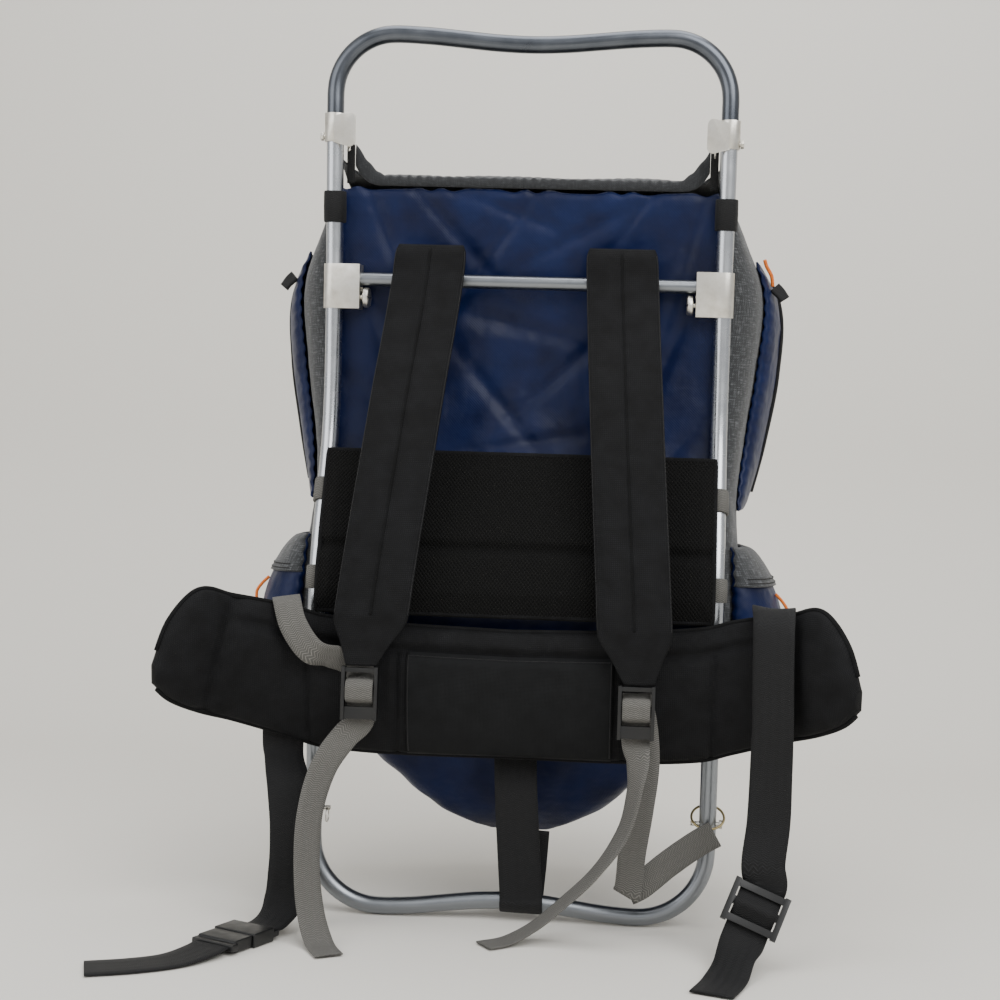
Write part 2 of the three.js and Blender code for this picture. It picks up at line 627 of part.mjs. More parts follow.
// Gathered rim along the lid's front edge, pulled up at its two corners
const rimHalf = tubeX - tubeRadius - 8.5;
const rimCorner = (s) => Math.max(0, (Math.abs(s) - 0.82) / 0.18) ** 1.6;
const rimRipple = (s) => RIM_GATHER * 0.5 * Math.cos(44 * s);
const rimTop = (s) => bagTop + RIM_HEIGHT + RIM_CORNER_RISE * rimCorner(s) + rimRipple(s);
const rimLow = bagTop + SLACK;
const rimWaves = 11;
function rimPoint(s, up, back) {
  const wave = RIM_GATHER * 0.5 * Math.sin(2 * Math.PI * rimWaves * s) * (0.4 + 0.6 * up);
  const z = rimLow + (rimTop(s) - rimLow) * up;
  return vec(rimHalf * s, bagSize(bagTop).front + wave + back, z);
}
const rimLayer = (back) => steps(1).map((up) => steps(32, -1, 1).map((s) => rimPoint(s, up, back)));
add('lid_rim', wall(rimLayer(0), rimLayer(RIM_THICKNESS)), 'greyCloth');

// Lid: a crowned sheet from the rim over the bag's top, with a skirt down the outer side
const lidFront = bagSize(bagTop).front + RIM_THICKNESS + RIM_GATHER;
function lidPoint(s, share, lift) {
  const skirtFrom = 0.7;
  if (share > skirtFrom) {
    const z = bagTop - (LID_SKIRT * (share - skirtFrom)) / (1 - skirtFrom);
    const edge = outerPoint(s, z);
    return vec(edge.x, edge.y + lift + POCKET_GAP, z);
  }
  const back = outerPoint(s, bagTop).y + POCKET_GAP + lift;
  const t = share / skirtFrom;
  const dome = LID_CROWN * Math.sin(Math.PI * t ** 0.8) ** 0.8 * (1 - s ** 6) ** 0.5;
  const corner = (RIM_CORNER_RISE - 4) * rimCorner(s * 0.97) * (1 - t) ** 5;
  const seat = (RIM_HEIGHT - 5) * (1 - t) ** 3;
  const z = bagTop + SLACK + lift + dome + corner + seat;
  return vec((BAG_WIDTH / 2 - seam) * s, lidFront + (back - lidFront) * t, z);
}
const lidShares = [0, 0.1, 0.22, 0.38, 0.54, 0.66, 0.7, 0.8, 0.9, 1];
const lidLayer = (lift) => lidShares.map((t) => steps(8, -1, 1).map((s) => lidPoint(s, t, lift)));
add('lid', wall(lidLayer(CLOTH + SLACK), lidLayer(SLACK)), 'greyCloth');

// Black tabs that tie the rim's corners to the collars
for (const { name, side } of sides) {
  const tabWidth = 7.6;
  const x = side * (rimHalf + SLACK + tabWidth / 2);
  const y = bagSize(bagTop).front + RIM_THICKNESS / 2;
  const tabRow = (rise) => ({ at: [x, y - rise * 0.12, bagTop + 2 + rise], edge: [1, 0, 0] });
  const rows = [0, 12, 24, 36].map(tabRow);
  add(`corner_tab_${name}`, ribbon(rows, tabWidth, WEBBING, 1), 'blackWebbing');
}

// Pockets: pouches that bulge from the side gussets
const pouchRows = {
  upper: { low: UPPER_POCKET_LOW, high: upperPocketHigh, bulge: UPPER_POCKET_BULGE, from: 0.3, to: 0.9 },
  lower: { low: LOWER_POCKET_LOW, high: LOWER_POCKET_HIGH, bulge: LOWER_POCKET_BULGE, from: 0.12, to: 0.84 },
};
function pouchBulge(pouch, share, z) {
  const across = Math.sin((Math.PI * (share - pouch.from)) / (pouch.to - pouch.from));
  const up = (z - pouch.low) / (pouch.high - pouch.low);
  if (up <= 0 || up >= 1) return 0;
  return pouch.bulge * Math.max(across, 0) ** 0.55 * Math.sin(Math.PI * up ** 0.85) ** 0.5;
}
function pouchWall(side, pouch, levels, lift) {
  const surface = (share, z) => sidePoint(side, share, z);
  return cloth(surface, steps(8, pouch.from, pouch.to), levels, (s, z) => lift + pouchBulge(pouch, s, z));
}
const pocketLift = POCKET_GAP;
const flapLift = pocketLift + CLOTH + POCKET_GAP;
const flapLow = LOWER_POCKET_HIGH - FLAP_DROP;
for (const { name, side } of sides) {
  const upperLevels = steps(8, UPPER_POCKET_LOW, upperPocketHigh);
  add(`upper_pocket_${name}`, pouchWall(side, pouchRows.upper, upperLevels, pocketLift), 'blueCloth');
  const levels = [...steps(5, LOWER_POCKET_LOW, flapLow), ...steps(3, flapLow, LOWER_POCKET_HIGH).slice(1)];
  add(`lower_pocket_${name}`, pouchWall(side, pouchRows.lower, levels, pocketLift), 'blueCloth');
  add(`pocket_flap_${name}`, pouchWall(side, pouchRows.lower, levels.slice(-4), flapLift), 'greyCloth');
}

// Place on a pouch's skin, and so far out from it
function onPouch(side, pouch, share, z, out) {
  const surface = (s, height) => sidePoint(side, s, height);
  const lift = pouchBulge(pouch, share, z) + pocketLift + CLOTH + out;
  return surface(share, z).addScaledVector(levelOut(surface, share, z, pouch.from, pouch.to), lift);
}
for (const { name, side } of sides) {
  const rows = [2.9, 7, 10].map((out, i) => ({
    at: onPouch(side, pouchRows.upper, 0.36, upperPocketHigh - 22 - 6 * i, out).toArray(),
    edge: [0, 0.5, 1],
  }));
  add(`zip_pull_${name}`, ribbon(rows, 14, 3, 2), 'blackWebbing');
  const cordRows = [0.6, 5, 6, 5, 4].map((out, i) =>
    onPouch(side, pouchRows.lower, 0.36, flapLow - 8 - 7 * i, out + (i > 1 ? 1.5 : 0)));
  add(`pull_cord_${name}`, tube(new THREE.CatmullRomCurve3(cordRows), 3, 6, 6), 'orangeCord');
}

// Back band: a padded mesh panel across the fronts of the long tubes, with a sewn channel
const harnessSet = clothSet + 0.6;
function bandPoint(s, up, front) {
  const z = BAND_LOW + (BAND_HIGH - BAND_LOW) * up;
  const back = frameLine(z) - harnessSet;
  const round = Math.min(1, 0.45 + 4 * Math.min(up, 1 - up), 0.5 + 8 * (1 - Math.abs(s)));
  const channel = 0.35 * Math.exp(-(((up - 0.41) / 0.03) ** 2));
  return vec((BAND_WIDTH / 2) * s, back - (front ? BAND_THICKNESS * (round - channel) : 0), z);
}
const bandUps = [0, 0.07, 0.17, 0.27, 0.36, 0.41, 0.46, 0.56, 0.67, 0.78, 0.88, 0.95, 1];
const bandAcross = [-1, -0.95, -0.5, 0, 0.5, 0.95, 1];
const bandLayer = (front) => bandUps.map((up) => bandAcross.map((s) => bandPoint(s, up, front)));
add('back_band', wall(bandLayer(true), bandLayer(false)), 'blackMesh');

// Hip belt: shares of the belt's half length, sweep and height from its middle to its tip
const beltRows = [
  { along: 0, out: 0, sweep: 0, low: 0, high: 1, thick: 1 },
  { along: 0.37, out: 0.37, sweep: 0, low: 0, high: 1.03, thick: 1 },
  { along: 0.53, out: 0.57, sweep: 0.04, low: 0.04, high: 1.08, thick: 1 },
  { along: 0.62, out: 0.66, sweep: 0.13, low: 0.12, high: 1.15, thick: 1 },
  { along: 0.77, out: 0.815, sweep: 0.4, low: 0.27, high: 1.235, thick: 1 },
  { along: 0.88, out: 0.9, sweep: 0.68, low: 0.36, high: 1.28, thick: 0.95 },
  { along: 0.95, out: 0.965, sweep: 0.88, low: 0.46, high: 1.05, thick: 0.8 },
  { along: 1, out: 1, sweep: 1, low: 0.58, high: 0.72, thick: 0.5 },
];
const beltRead = (column, along) => readTable(beltRows, 'along', column, Math.abs(along));
function beltPoint(along, up, front) {
  const low = BELT_LOW + BELT_HEIGHT * beltRead('low', along);
  const z = low + (BELT_LOW + BELT_HEIGHT * beltRead('high', along) - low) * up;
  const back = frameLine(z) - harnessSet - BELT_SWEEP * beltRead('sweep', along);
  const crown = 0.35 + 0.65 * Math.sin(Math.PI * Math.min(Math.max(up, 0), 1)) ** 0.5;
  const groove = 0.16 * Math.exp(-(((up - 0.82) / 0.05) ** 2)) * (Math.abs(along) < 0.75 ? 1 : 0);
  const depth = BELT_THICKNESS * beltRead('thick', along) * (crown - groove);
  const lean = BELT_SWEEP * beltRead('sweep', along) > 0 ? Math.min(1, Math.abs(along) ** 4 * 1.2) : 0;
  const x = Math.sign(along) * BELT_HALF * beltRead('out', along);
  const inward = front ? depth * lean * 0.6 * Math.sign(along) : 0;
  return vec(x - inward, back - (front ? depth * (1 - 0.3 * lean) : 0), z);
}
const beltHalfAlong = [0.12, 0.37, 0.5, 0.6, 0.7, 0.79, 0.87, 0.93, 0.97, 1];
const beltAlong = [...[...beltHalfAlong].reverse().map((a) => -a), ...beltHalfAlong];
const beltUps = [0, 0.1, 0.3, 0.55, 0.75, 0.82, 0.9, 1];
const beltLayer = (front) => beltUps.map((up) => beltAlong.map((a) => beltPoint(a, up, front)));
const beltTopAt = BELT_LOW + BELT_HEIGHT * beltRead('high', 0.55);
const beltLoops = sides.flatMap(({ side }) => {
  const y = frameLine(beltTopAt);
  const back = y - harnessSet - BELT_SWEEP * beltRead('sweep', 0.57);
  return [
    sleeve(side, beltTopAt - 10, beltTopAt + 14, loopInner, loopOuter),
    boxOf([side * tubeX - 5, back - 4, beltTopAt - 9], [side * tubeX + 5, y - loopInner - 0.6, beltTopAt - 6]),
  ];
});
add('hip_belt', joined(wall(beltLayer(true), beltLayer(false)), ...beltLoops), 'blackCloth');

// Smooth patch sewn over the belt's middle
const patchAlong = PATCH_WIDTH / 2 / BELT_HALF;
const patchShare = PATCH_HEIGHT / BELT_HEIGHT;
const patchUps = [...beltUps.filter((up) => up < patchShare), patchShare];
const patchPoint = (a, up, lift) => beltPoint(a, up, true).add(vec(0, -lift, 0));
const patchLayer = (lift) =>
  patchUps.map((up) => steps(6, -patchAlong, patchAlong).map((a) => patchPoint(a, up, lift)));
add('lumbar_patch', wall(patchLayer(POCKET_GAP + CLOTH), patchLayer(POCKET_GAP)), 'blackCloth');

// Shoulder pads: place down the pad from its top to the end of its tail, with the size there
const padRows = [
  { down: 0, drift: 0, reach: 0, width: 0.9, thick: 0.5 },
  { down: 0.02, drift: 0.01, reach: 0.01, width: 0.98, thick: 0.9 },
  { down: 0.08, drift: 0.06, reach: 0.02, width: 1, thick: 1 },
  { down: 0.2, drift: 0.18, reach: 0.2, width: 1, thick: 1 },
  { down: 0.34, drift: 0.34, reach: 0.44, width: 1, thick: 1 },
  { down: 0.5, drift: 0.52, reach: 0.64, width: 1, thick: 1 },
  { down: 0.65, drift: 0.7, reach: 0.8, width: 1, thick: 1 },
  { down: 0.8, drift: 0.88, reach: 0.93, width: 1, thick: 1 },
  { down: 0.88, drift: 0.97, reach: 0.98, width: 1, thick: 0.95 },
  { down: 0.9, drift: 1, reach: 1, width: 0.97, thick: 0.6 },
  { down: 0.95, drift: 1.1, reach: 1, width: 0.66, thick: 0.3 },
  { down: 1, drift: 1.2, reach: 1, width: 0.4, thick: 0.22 },
];
const harnessRows = [
  { name: 'left', side: -1, topX: 91, bottomX: 126, lockX: 133, lockZ: 216 },
  { name: 'right', side: 1, topX: 89, bottomX: 113, lockX: 116, lockZ: 208 },
];
const PAD_REACH = 66; // how far the pad's lower end hangs in front of its top
const padLoopOuter = barRadius + 2 * SLACK + WEBBING;
const padTopY = barY - padLoopOuter - PAD_THICKNESS / 2 + 0.6;
const lockY = padTopY - PAD_REACH;

for (const row of harnessRows) {
  const tailEnd = row.lockZ + LOCK_HEIGHT / 2 + SLACK;
  const sections = padRows.map((pad) => {
    const z = padTop - (padTop - tailEnd) * pad.down;
    const x = row.side * (row.topX + (row.bottomX - row.topX) * pad.drift);
    const y = padTopY - PAD_REACH * pad.reach;
    const slope = pad.down > 0.85 ? 0 : 0.18;
    return steps(10).slice(0, 10).map((t) => {
      const c = Math.cos(2 * Math.PI * t);
      const s = Math.sin(2 * Math.PI * t);
      const across = (PAD_WIDTH / 2) * pad.width * Math.sign(c) * Math.abs(c) ** 0.6;
      const deep = (PAD_THICKNESS / 2) * pad.thick * Math.sign(s) * Math.abs(s) ** 0.8;
      return vec(x + across, y + deep, z + deep * slope);
    });
  });
  const rodRound = (half, diameter) =>
    rodX(row.side * (row.topX - half), row.side * (row.topX + half), diameter, barY, crossbarHeight);
  const loop = cut(rodRound(24, 2 * padLoopOuter), rodRound(25, 2 * (padLoopOuter - WEBBING)));
  const seatFace = barY - padLoopOuter;
  const stitching = boxOf(
    [row.side * row.topX - 22, seatFace - 4, crossbarHeight - 2],
    [row.side * row.topX + 22, seatFace + 1, crossbarHeight + 2],
  );
  add(`shoulder_pad_${row.name}`, joined(loft(sections), loop, stitching), 'blackCloth');

  // Ladder lock: two side rails, a top bar, a middle bar for the webbing and a thumb plate
  const centre = vec(row.side * row.lockX, lockY, row.lockZ);
  const half = LOCK_WIDTH / 2;
  const rail = 3.2;
  const bar = (low, high, deep) => boxOf([1 - half, -deep / 2, low], [half - 1, deep / 2, high]);
  const lock = joined(
    boxOf([-half, -LOCK_THICKNESS / 2, -LOCK_HEIGHT / 2], [rail - half, LOCK_THICKNESS / 2, LOCK_HEIGHT / 2]),
    boxOf([half - rail, -LOCK_THICKNESS / 2, -LOCK_HEIGHT / 2], [half, LOCK_THICKNESS / 2, LOCK_HEIGHT / 2]),
    bar(LOCK_HEIGHT / 2 - 5, LOCK_HEIGHT / 2 - 1, 5),
    bar(-4, 6, 4),
    bar(1 - LOCK_HEIGHT / 2, 12 - LOCK_HEIGHT / 2, 5),
  );
  lock.translate(...centre.toArray());
  add(`ladder_lock_${row.name}`, lock, 'blackPlastic');
}

// Way of the grey webbing through a ladder lock: in at the upper window, over the bar, out at the lower one
const threading = [
  { y: 10, z: 15 },
  { y: 4, z: 12.4 },
  { y: -2.5, z: 11.4 },
  { y: -5.8, z: 7 },
  { y: -6, z: 1 },
  { y: -5, z: -5 },
  { y: 0, z: -8.3 },
  { y: 4.5, z: -9.5 },
  { y: 6.8, z: -15 },
  { y: 7.5, z: -26 },
];
const through = (row) =>
  threading.map(({ y, z }) => ({ at: [row.side * row.lockX, lockY + y, row.lockZ + z], edge: [1, 0, 0] }));

// Free webbing keeps the few places chosen for how it hangs: left strap, from behind the belt
const leftStrap = [
  { at: [-0.685 * BELT_HALF, -58, 245], edge: [1, 0.4, 0] },
  { at: [-0.682 * BELT_HALF, -61, 280], edge: [1, 0.4, 0] },
  { at: [-0.675 * BELT_HALF, -65, 297], edge: [1, 0.3, 0.1] },
  { at: [-0.662 * BELT_HALF, -80, 298], edge: [1, 0.2, 0.2] },
  { at: [-194, -92, 275], edge: [0.85, 0.1, 0.5] },
  { at: [-176, -92, 252], edge: [0.8, 0, 0.6] },
  { at: [-159, -82, 247], edge: [0.85, 0, 0.5] },
  { at: [-142, -74, 239], edge: [0.97, 0, 0.2] },
  ...through(harnessRows[0]),
  { at: [-146, -82, 176], edge: [0.95, 0, -0.2] },
  { at: [-162, -92, 150], edge: [0.85, 0.4, -0.2] },
  { at: [-171, -104, 110], edge: [0.8, 0.6, 0] },
  { at: [-170, -114, 62], edge: [0.8, 0.6, 0] },
  { at: [-163, -124, 26], edge: [0.85, 0.5, 0] },
  { at: [-152, -138, 5], edge: [0.9, 0.35, 0] },
  { at: [-138, -162, 1.6], edge: [0.9, 0.4, 0] },
];
add('lower_strap_left', ribbon(leftStrap, NARROW_WEBBING, 1.6, 1), 'greyWebbing');

// Right strap, from the ring on the lower leg, folded back up to the ladder lock
const ringReach = (STRAP_RING / 2) * Math.cos(ringTip) + STRAP_RING_WIRE / 2;
const ringFront = frameLine(LOWER_PIN_HEIGHT) - ringReach - 1.4;
const rightStrap = [
  { at: [192, ringFront, 92], edge: [-0.5, 0, 0.86] },
  { at: [178, ringFront - 1, 84], edge: [-0.5, 0, 0.86] },
  { at: [150, -50, 66], edge: [-0.53, 0, 0.85] },
  { at: [126, -57, 47], edge: [-0.53, 0, 0.85] },
  { at: [119, -57.8, 43], edge: [-0.7, 0, 0.7] },
  { at: [112.6, -59.4, 40.5], edge: [-0.88, 0, 0.47] },
  { at: [111.7, -60.2, 38.9], edge: [-0.88, 0, 0.47] },
  { at: [111.4, -62, 38.2], edge: [-0.88, 0, 0.47] },
  { at: [111.7, -63.8, 38.9], edge: [-0.88, 0, 0.47] },
  { at: [112.6, -64.6, 40.5], edge: [-0.88, 0, 0.47] },
  { at: [114.2, -66, 49], edge: [-0.97, 0, 0.2] },
  { at: [116, -70, 75], edge: [-1, 0, 0.1] },
  { at: [122, -78, 120], edge: [-1, 0, 0.1] },
  { at: [126, -78, 160], edge: [-1, 0, 0.05] },
  { at: [123, -75.5, 195], edge: [-1, 0, 0] },
  ...through(harnessRows[1]).map(({ at }) => ({ at, edge: [-1, 0, 0] })),
  { at: [119, -88, 166], edge: [-0.8, 0.6, 0] },
  { at: [117, -96, 140], edge: [-0.5, 0.85, 0.1] },
  { at: [108, -98, 103], edge: [-0.4, 0.9, 0.1] },
  { at: [84, -98, 66], edge: [-0.3, 0.95, 0] },
  { at: [55, -94, 36], edge: [-0.3, 0.95, 0] },
  { at: [30, -92, 14], edge: [-0.3, 0.95, 0] },
  { at: [8, -98, 2.6], edge: [-0.4, 0.9, 0] },
  { at: [-12, -112, 1.6], edge: [-0.5, 0.85, 0] },
];
add('lower_strap_right', ribbon(rightStrap, NARROW_WEBBING, 1.6, 1), 'greyWebbing');

// Belt straps: the right one over the belt and through a slider, the left one down to a buckle.
// Where they lie on the belt, X is a share of the belt's half length.
const rightBeltStrap = [
  { at: [0.766 * BELT_HALF, -72.5, 268], edge: [1, -0.55, 0] },
  { at: [0.766 * BELT_HALF, -75.5, 292], edge: [1, -0.55, 0] },
  { at: [0.763 * BELT_HALF, -82, 303], edge: [1, -0.55, 0] },
  { at: [0.763 * BELT_HALF, -94, 303], edge: [1, -0.55, 0] },
  { at: [0.76 * BELT_HALF, -108, 290], edge: [1, -0.45, 0] },
  { at: [0.76 * BELT_HALF, -114.6, 250], edge: [1, -0.45, 0] },
  { at: [0.763 * BELT_HALF, -114.6, 205], edge: [1, -0.45, 0] },
  { at: [0.763 * BELT_HALF, -112, 165], edge: [1, -0.35, 0] },
  { at: [0.76 * BELT_HALF, -114, 120], edge: [1, -0.2, 0] },
  { at: [0.747 * BELT_HALF, -122, 84], edge: [1, -0.1, 0] },
];
const sliderAt = vec(0.727 * BELT_HALF, -131, 50);
const sliderTurn = THREE.MathUtils.degToRad(-22);
const sliderLean = THREE.MathUtils.degToRad(20);
const sliderWay = [[1.6, 22], [3.2, 15], [0, 8], [-4.2, 0], [0, -8], [3.2, -15], [2, -23]];
const sliderFrame = new THREE.Matrix4()
  .makeRotationY(-sliderTurn)
  .premultiply(new THREE.Matrix4().makeRotationX(-sliderLean))
  .setPosition(sliderAt);
for (const [y, z] of sliderWay) {
  rightBeltStrap.push({
    at: vec(0, y, z).applyMatrix4(sliderFrame).toArray(),
    edge: vec(1, 0, 0).transformDirection(sliderFrame).toArray(),
  });
}
rightBeltStrap.push(
  { at: [205, -158, 12], edge: [0.9, -0.3, 0.2] },
  { at: [197, -180, 3], edge: [0.9, -0.35, 0] },
  { at: [184, -215, 1.6], edge: [0.9, -0.35, 0] },
);
add('belt_strap_right', ribbon(rightBeltStrap, WIDE_WEBBING, WEBBING, 1), 'blackWebbing');

const sliderHalf = WIDE_WEBBING / 2 + SLACK + 1;
const sliderBars = [
  boxOf([-sliderHalf - 5, -3.5, -19], [-sliderHalf, 4, 19]),
  boxOf([sliderHalf, -3.5, -19], [sliderHalf + 5, 4, 19]),
  boxOf([-sliderHalf - 1, -3, 12], [sliderHalf + 1, 0.2, 18]),
  boxOf([-sliderHalf - 1, -1.2, -3.5], [sliderHalf + 1, 3.5, 3.5]),
  boxOf([-sliderHalf - 1, -3, -18], [sliderHalf + 1, 0.2, -12]),
];
const slider = joined(...sliderBars);
slider.applyMatrix4(sliderFrame);
add('belt_slider_right', slider, 'blackPlastic');

const strapAlong = -0.64; // where the left belt strap is sewn behind the belt
const behindBelt = [0.5, 0.3, 0.1, -0.15].map((up) => {
  const edge = beltPoint(strapAlong + 0.04, up, false).sub(beltPoint(strapAlong - 0.04, up, false));
  const at = beltPoint(strapAlong, up, false).add(vec(0, WEBBING / 2 + 0.8, 0));
  return { at: at.toArray(), edge: edge.toArray() };
});
const leftBeltStrap = [
  ...behindBelt,
  { at: [-200, -68, 128], edge: [1, 0.2, 0] },
  { at: [-194, -79, 92], edge: [1, 0, 0] },
  { at: [-193, -83, 55], edge: [1, 0, 0] },
  { at: [-197, -84, 26], edge: [0.95, -0.2, 0] },
  { at: [-203, -90, 11], edge: [0.9, -0.44, 0] },
  { at: [-207.5, -98, 6.8], edge: [0.9, -0.44, 0] },
  { at: [-212, -107, 6.2], edge: [0.9, -0.44, 0] },
];
add('belt_strap_left', ribbon(leftBeltStrap, WIDE_WEBBING, WEBBING, 2), 'blackWebbing');

// Side-release buckle, closed: socket and plug with a small gap, laid along +X from the strap's end
const buckleFrom = vec(-213, -108, 6.2);
const buckleAngle = Math.atan2(-0.9, -0.44);
const buckleWidth = WIDE_WEBBING + 8;
function buckle(parts) {
  const body = joined(...parts);
  body.rotateZ(buckleAngle);
  body.translate(...buckleFrom.toArray());
  return body;
}
const socketLength = 32;
const plugLength = 28;
const buckleHalf = buckleWidth / 2;
const buckleSocket = cut(
  joined(
    boxOf([6, -buckleHalf, -6], [socketLength, buckleHalf, 6]),
    boxOf([-1, -buckleHalf, -3], [7, buckleHalf, 3]),
  ),
  boxOf([16, -buckleHalf + 4, -3.5], [socketLength + 1, buckleHalf - 4, 3.5]),
);
const prong = (side) =>
  boxOf([socketLength - 12, side * 14 - 3.4, -2.8], [socketLength + 6, side * 14 + 3.4, 2.8]);
add('buckle_socket', buckle([buckleSocket]), 'blackPlastic');
add('buckle_plug', buckle([
  boxOf([socketLength + SLACK, -buckleHalf + 2, -5], [socketLength + plugLength - 6, buckleHalf - 2, 5]),
  boxOf([socketLength + plugLength - 8, -buckleHalf, -3], [socketLength + plugLength, buckleHalf, 3]),
  prong(-1),
  prong(1),
]), 'blackPlastic');
function beyondPlug(far, z) {
  const place = vec(socketLength + plugLength + far, 0, 0).applyAxisAngle(vec(0, 0, 1), buckleAngle);
  return place.add(buckleFrom).setZ(z).toArray();
}
add('belt_strap_end', ribbon([
  { at: beyondPlug(SLACK, 6.2), edge: [0.9, -0.44, 0] },
  { at: beyondPlug(12, 4.6), edge: [0.9, -0.44, 0] },
  { at: [-262, -194, 1.8], edge: [0.8, -0.6, 0] },
  { at: [-290, -212, 1.4], edge: [0.6, -0.8, 0] },
  { at: [-326, -226, 1.4], edge: [0.45, -0.9, 0] },
], WIDE_WEBBING, WEBBING, 2), 'blackWebbing');

// Bottom strap: from the lower compartment's front down and round the bottom bar, with a free end behind
const barRise = (x) => BOTTOM_RISE * Math.cos(((Math.PI / 2) * x) / (tubeX - BOTTOM_CORNER)) ** 2;
const barTilt = (barRise(34) - barRise(-6)) / BOTTOM_WEBBING;
const lowBar = vec(14, frameLine(tubeRadius + barRise(14)), tubeRadius + barRise(14));
const wrapRadius = tubeRadius + 3 * SLACK + WEBBING / 2;
const wrapPlace = (degrees) => {
  const angle = THREE.MathUtils.degToRad(degrees);
  return [lowBar.x, lowBar.y - wrapRadius * Math.cos(angle), lowBar.z - wrapRadius * Math.sin(angle)];
};
const bottomRows = [
  { at: [0, bagSize(205).front - 3.2, 205], edge: [1, 0, 0] },
  { at: [2, bagSize(170).front - 6, 170], edge: [1, 0, 0] },
  { at: [6, lowBar.y - 4, 120], edge: [1, 0, 0.04] },
  { at: [11, lowBar.y - 8, 60], edge: [1, 0, 0.04] },
  ...[-30, 0, 30, 60, 90, 120, 150, 180, 210].map((a) => ({ at: wrapPlace(a), edge: [1, 0, barTilt] })),
  { at: [16, lowBar.y + 9, 50], edge: [1, 0, 0] },
  { at: [18, lowBar.y + 6, 84], edge: [1, 0, 0] },
];
add('bottom_strap', ribbon(bottomRows, BOTTOM_WEBBING, WEBBING, 1), 'blackWebbing');

// The origin is where the wearer's back rests, at the middle of the belt's smooth patch.
const seatUp = 0.5;
const seat = beltPoint(0.001, seatUp, true).add(vec(0, -POCKET_GAP - CLOTH, 0));
pack.position.set(0, -seat.y, -seat.z);

export default pack;
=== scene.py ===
"""Looks of an external frame backpack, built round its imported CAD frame.

Lengths are millimetres in the floor's frame until Bench turns them into metres in the part's frame:
Z is 0 under the bottom bar, Y is 0 on the tubes' line at the chest, and X is 0 between the long tubes.
The wearer stands on the -Y side, and left and right are as seen from there.
"""
import json
import logging
import math
from dataclasses import dataclass
from enum import Enum
from functools import cached_property, partial
from typing import Callable, Iterable, NamedTuple, Sequence

import bpy
from mathutils import Matrix, Vector, noise

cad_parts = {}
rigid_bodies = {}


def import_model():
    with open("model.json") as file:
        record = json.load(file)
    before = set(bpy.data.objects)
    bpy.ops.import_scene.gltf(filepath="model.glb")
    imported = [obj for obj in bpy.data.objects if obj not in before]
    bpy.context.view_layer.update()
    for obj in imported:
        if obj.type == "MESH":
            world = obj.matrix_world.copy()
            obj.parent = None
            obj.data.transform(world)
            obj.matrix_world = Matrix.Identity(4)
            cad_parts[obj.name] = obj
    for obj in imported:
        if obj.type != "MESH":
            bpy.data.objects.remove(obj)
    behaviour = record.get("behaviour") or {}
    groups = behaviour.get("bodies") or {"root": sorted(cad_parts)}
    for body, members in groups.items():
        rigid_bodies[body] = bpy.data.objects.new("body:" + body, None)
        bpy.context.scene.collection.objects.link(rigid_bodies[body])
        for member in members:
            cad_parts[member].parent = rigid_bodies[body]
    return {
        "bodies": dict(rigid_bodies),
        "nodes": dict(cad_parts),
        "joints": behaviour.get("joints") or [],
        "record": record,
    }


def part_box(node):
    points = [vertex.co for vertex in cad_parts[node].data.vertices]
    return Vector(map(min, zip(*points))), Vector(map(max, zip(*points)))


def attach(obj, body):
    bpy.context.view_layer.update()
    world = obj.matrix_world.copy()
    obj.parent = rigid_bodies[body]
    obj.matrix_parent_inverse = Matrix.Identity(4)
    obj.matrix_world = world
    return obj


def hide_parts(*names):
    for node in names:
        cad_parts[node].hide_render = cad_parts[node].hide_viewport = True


LOG = logging.getLogger("backpack")
MM = 0.001
Points = list[Vector]
Piece = bpy.types.Object
Tree = bpy.types.NodeTree
Shader = bpy.types.Node
Socket = bpy.types.NodeSocket
Sockets = dict[str | int, object]
Surface = Callable[[float, float], Vector]


class Side(Enum):
    """Side of the pack, as the wearer's side sees it."""

    LEFT = -1
    RIGHT = 1

    @property
    def word(self) -> str:
        """Name of the side as it ends a node's name."""
        return self.name.lower()


# Tables and curves


def read_rows(rows: Sequence[tuple], place: float, column: int) -> float:
    """Reads one column of a table on a smooth curve through its rows.

    Args:
        rows: The table, in rising order of its first column.
        place: Where to read, in the first column's terms.
        column: Which column to read.

    Returns:
        The column's value there, held level past the table's ends.
    """
    last = len(rows) - 1
    if place <= rows[0][0]:
        return rows[0][column]
    if place >= rows[last][0]:
        return rows[last][column]
    at = next(i for i, row in enumerate(rows) if row[0] > place) - 1

    def slope(i: int) -> float:
        """Slope of the curve at one row."""
        low, high = rows[max(i - 1, 0)], rows[min(i + 1, last)]
        return (high[column] - low[column]) / (high[0] - low[0])

    span = rows[at + 1][0] - rows[at][0]
    t = (place - rows[at][0]) / span
    rise = rows[at + 1][column] - rows[at][column]
    a = slope(at) * span - rise
    b = rise - slope(at + 1) * span
    return rows[at][column] + t * rise + t * (1 - t) * (a * (1 - t) + b * t)


def read_named(rows: Sequence[tuple], place: float, name: str) -> float:
    """Reads a column of a table by its name, on the same curve."""
    return read_rows(rows, place, rows[0]._fields.index(name))


def steps(count: int, low: float = 0.0, high: float = 1.0) -> list[float]:
    """Even places from low to high, both ends included."""
    return [low + (high - low) * i / count for i in range(count + 1)]


def ease(value: float) -> float:
    """Smooth step from 0 to 1."""
    held = min(max(value, 0.0), 1.0)
    return held * held * (3 - 2 * held)


def bump(distance: float, width: float) -> float:
    """Round ridge of height 1 at distance 0."""
    return math.exp(-((distance / width) ** 2))


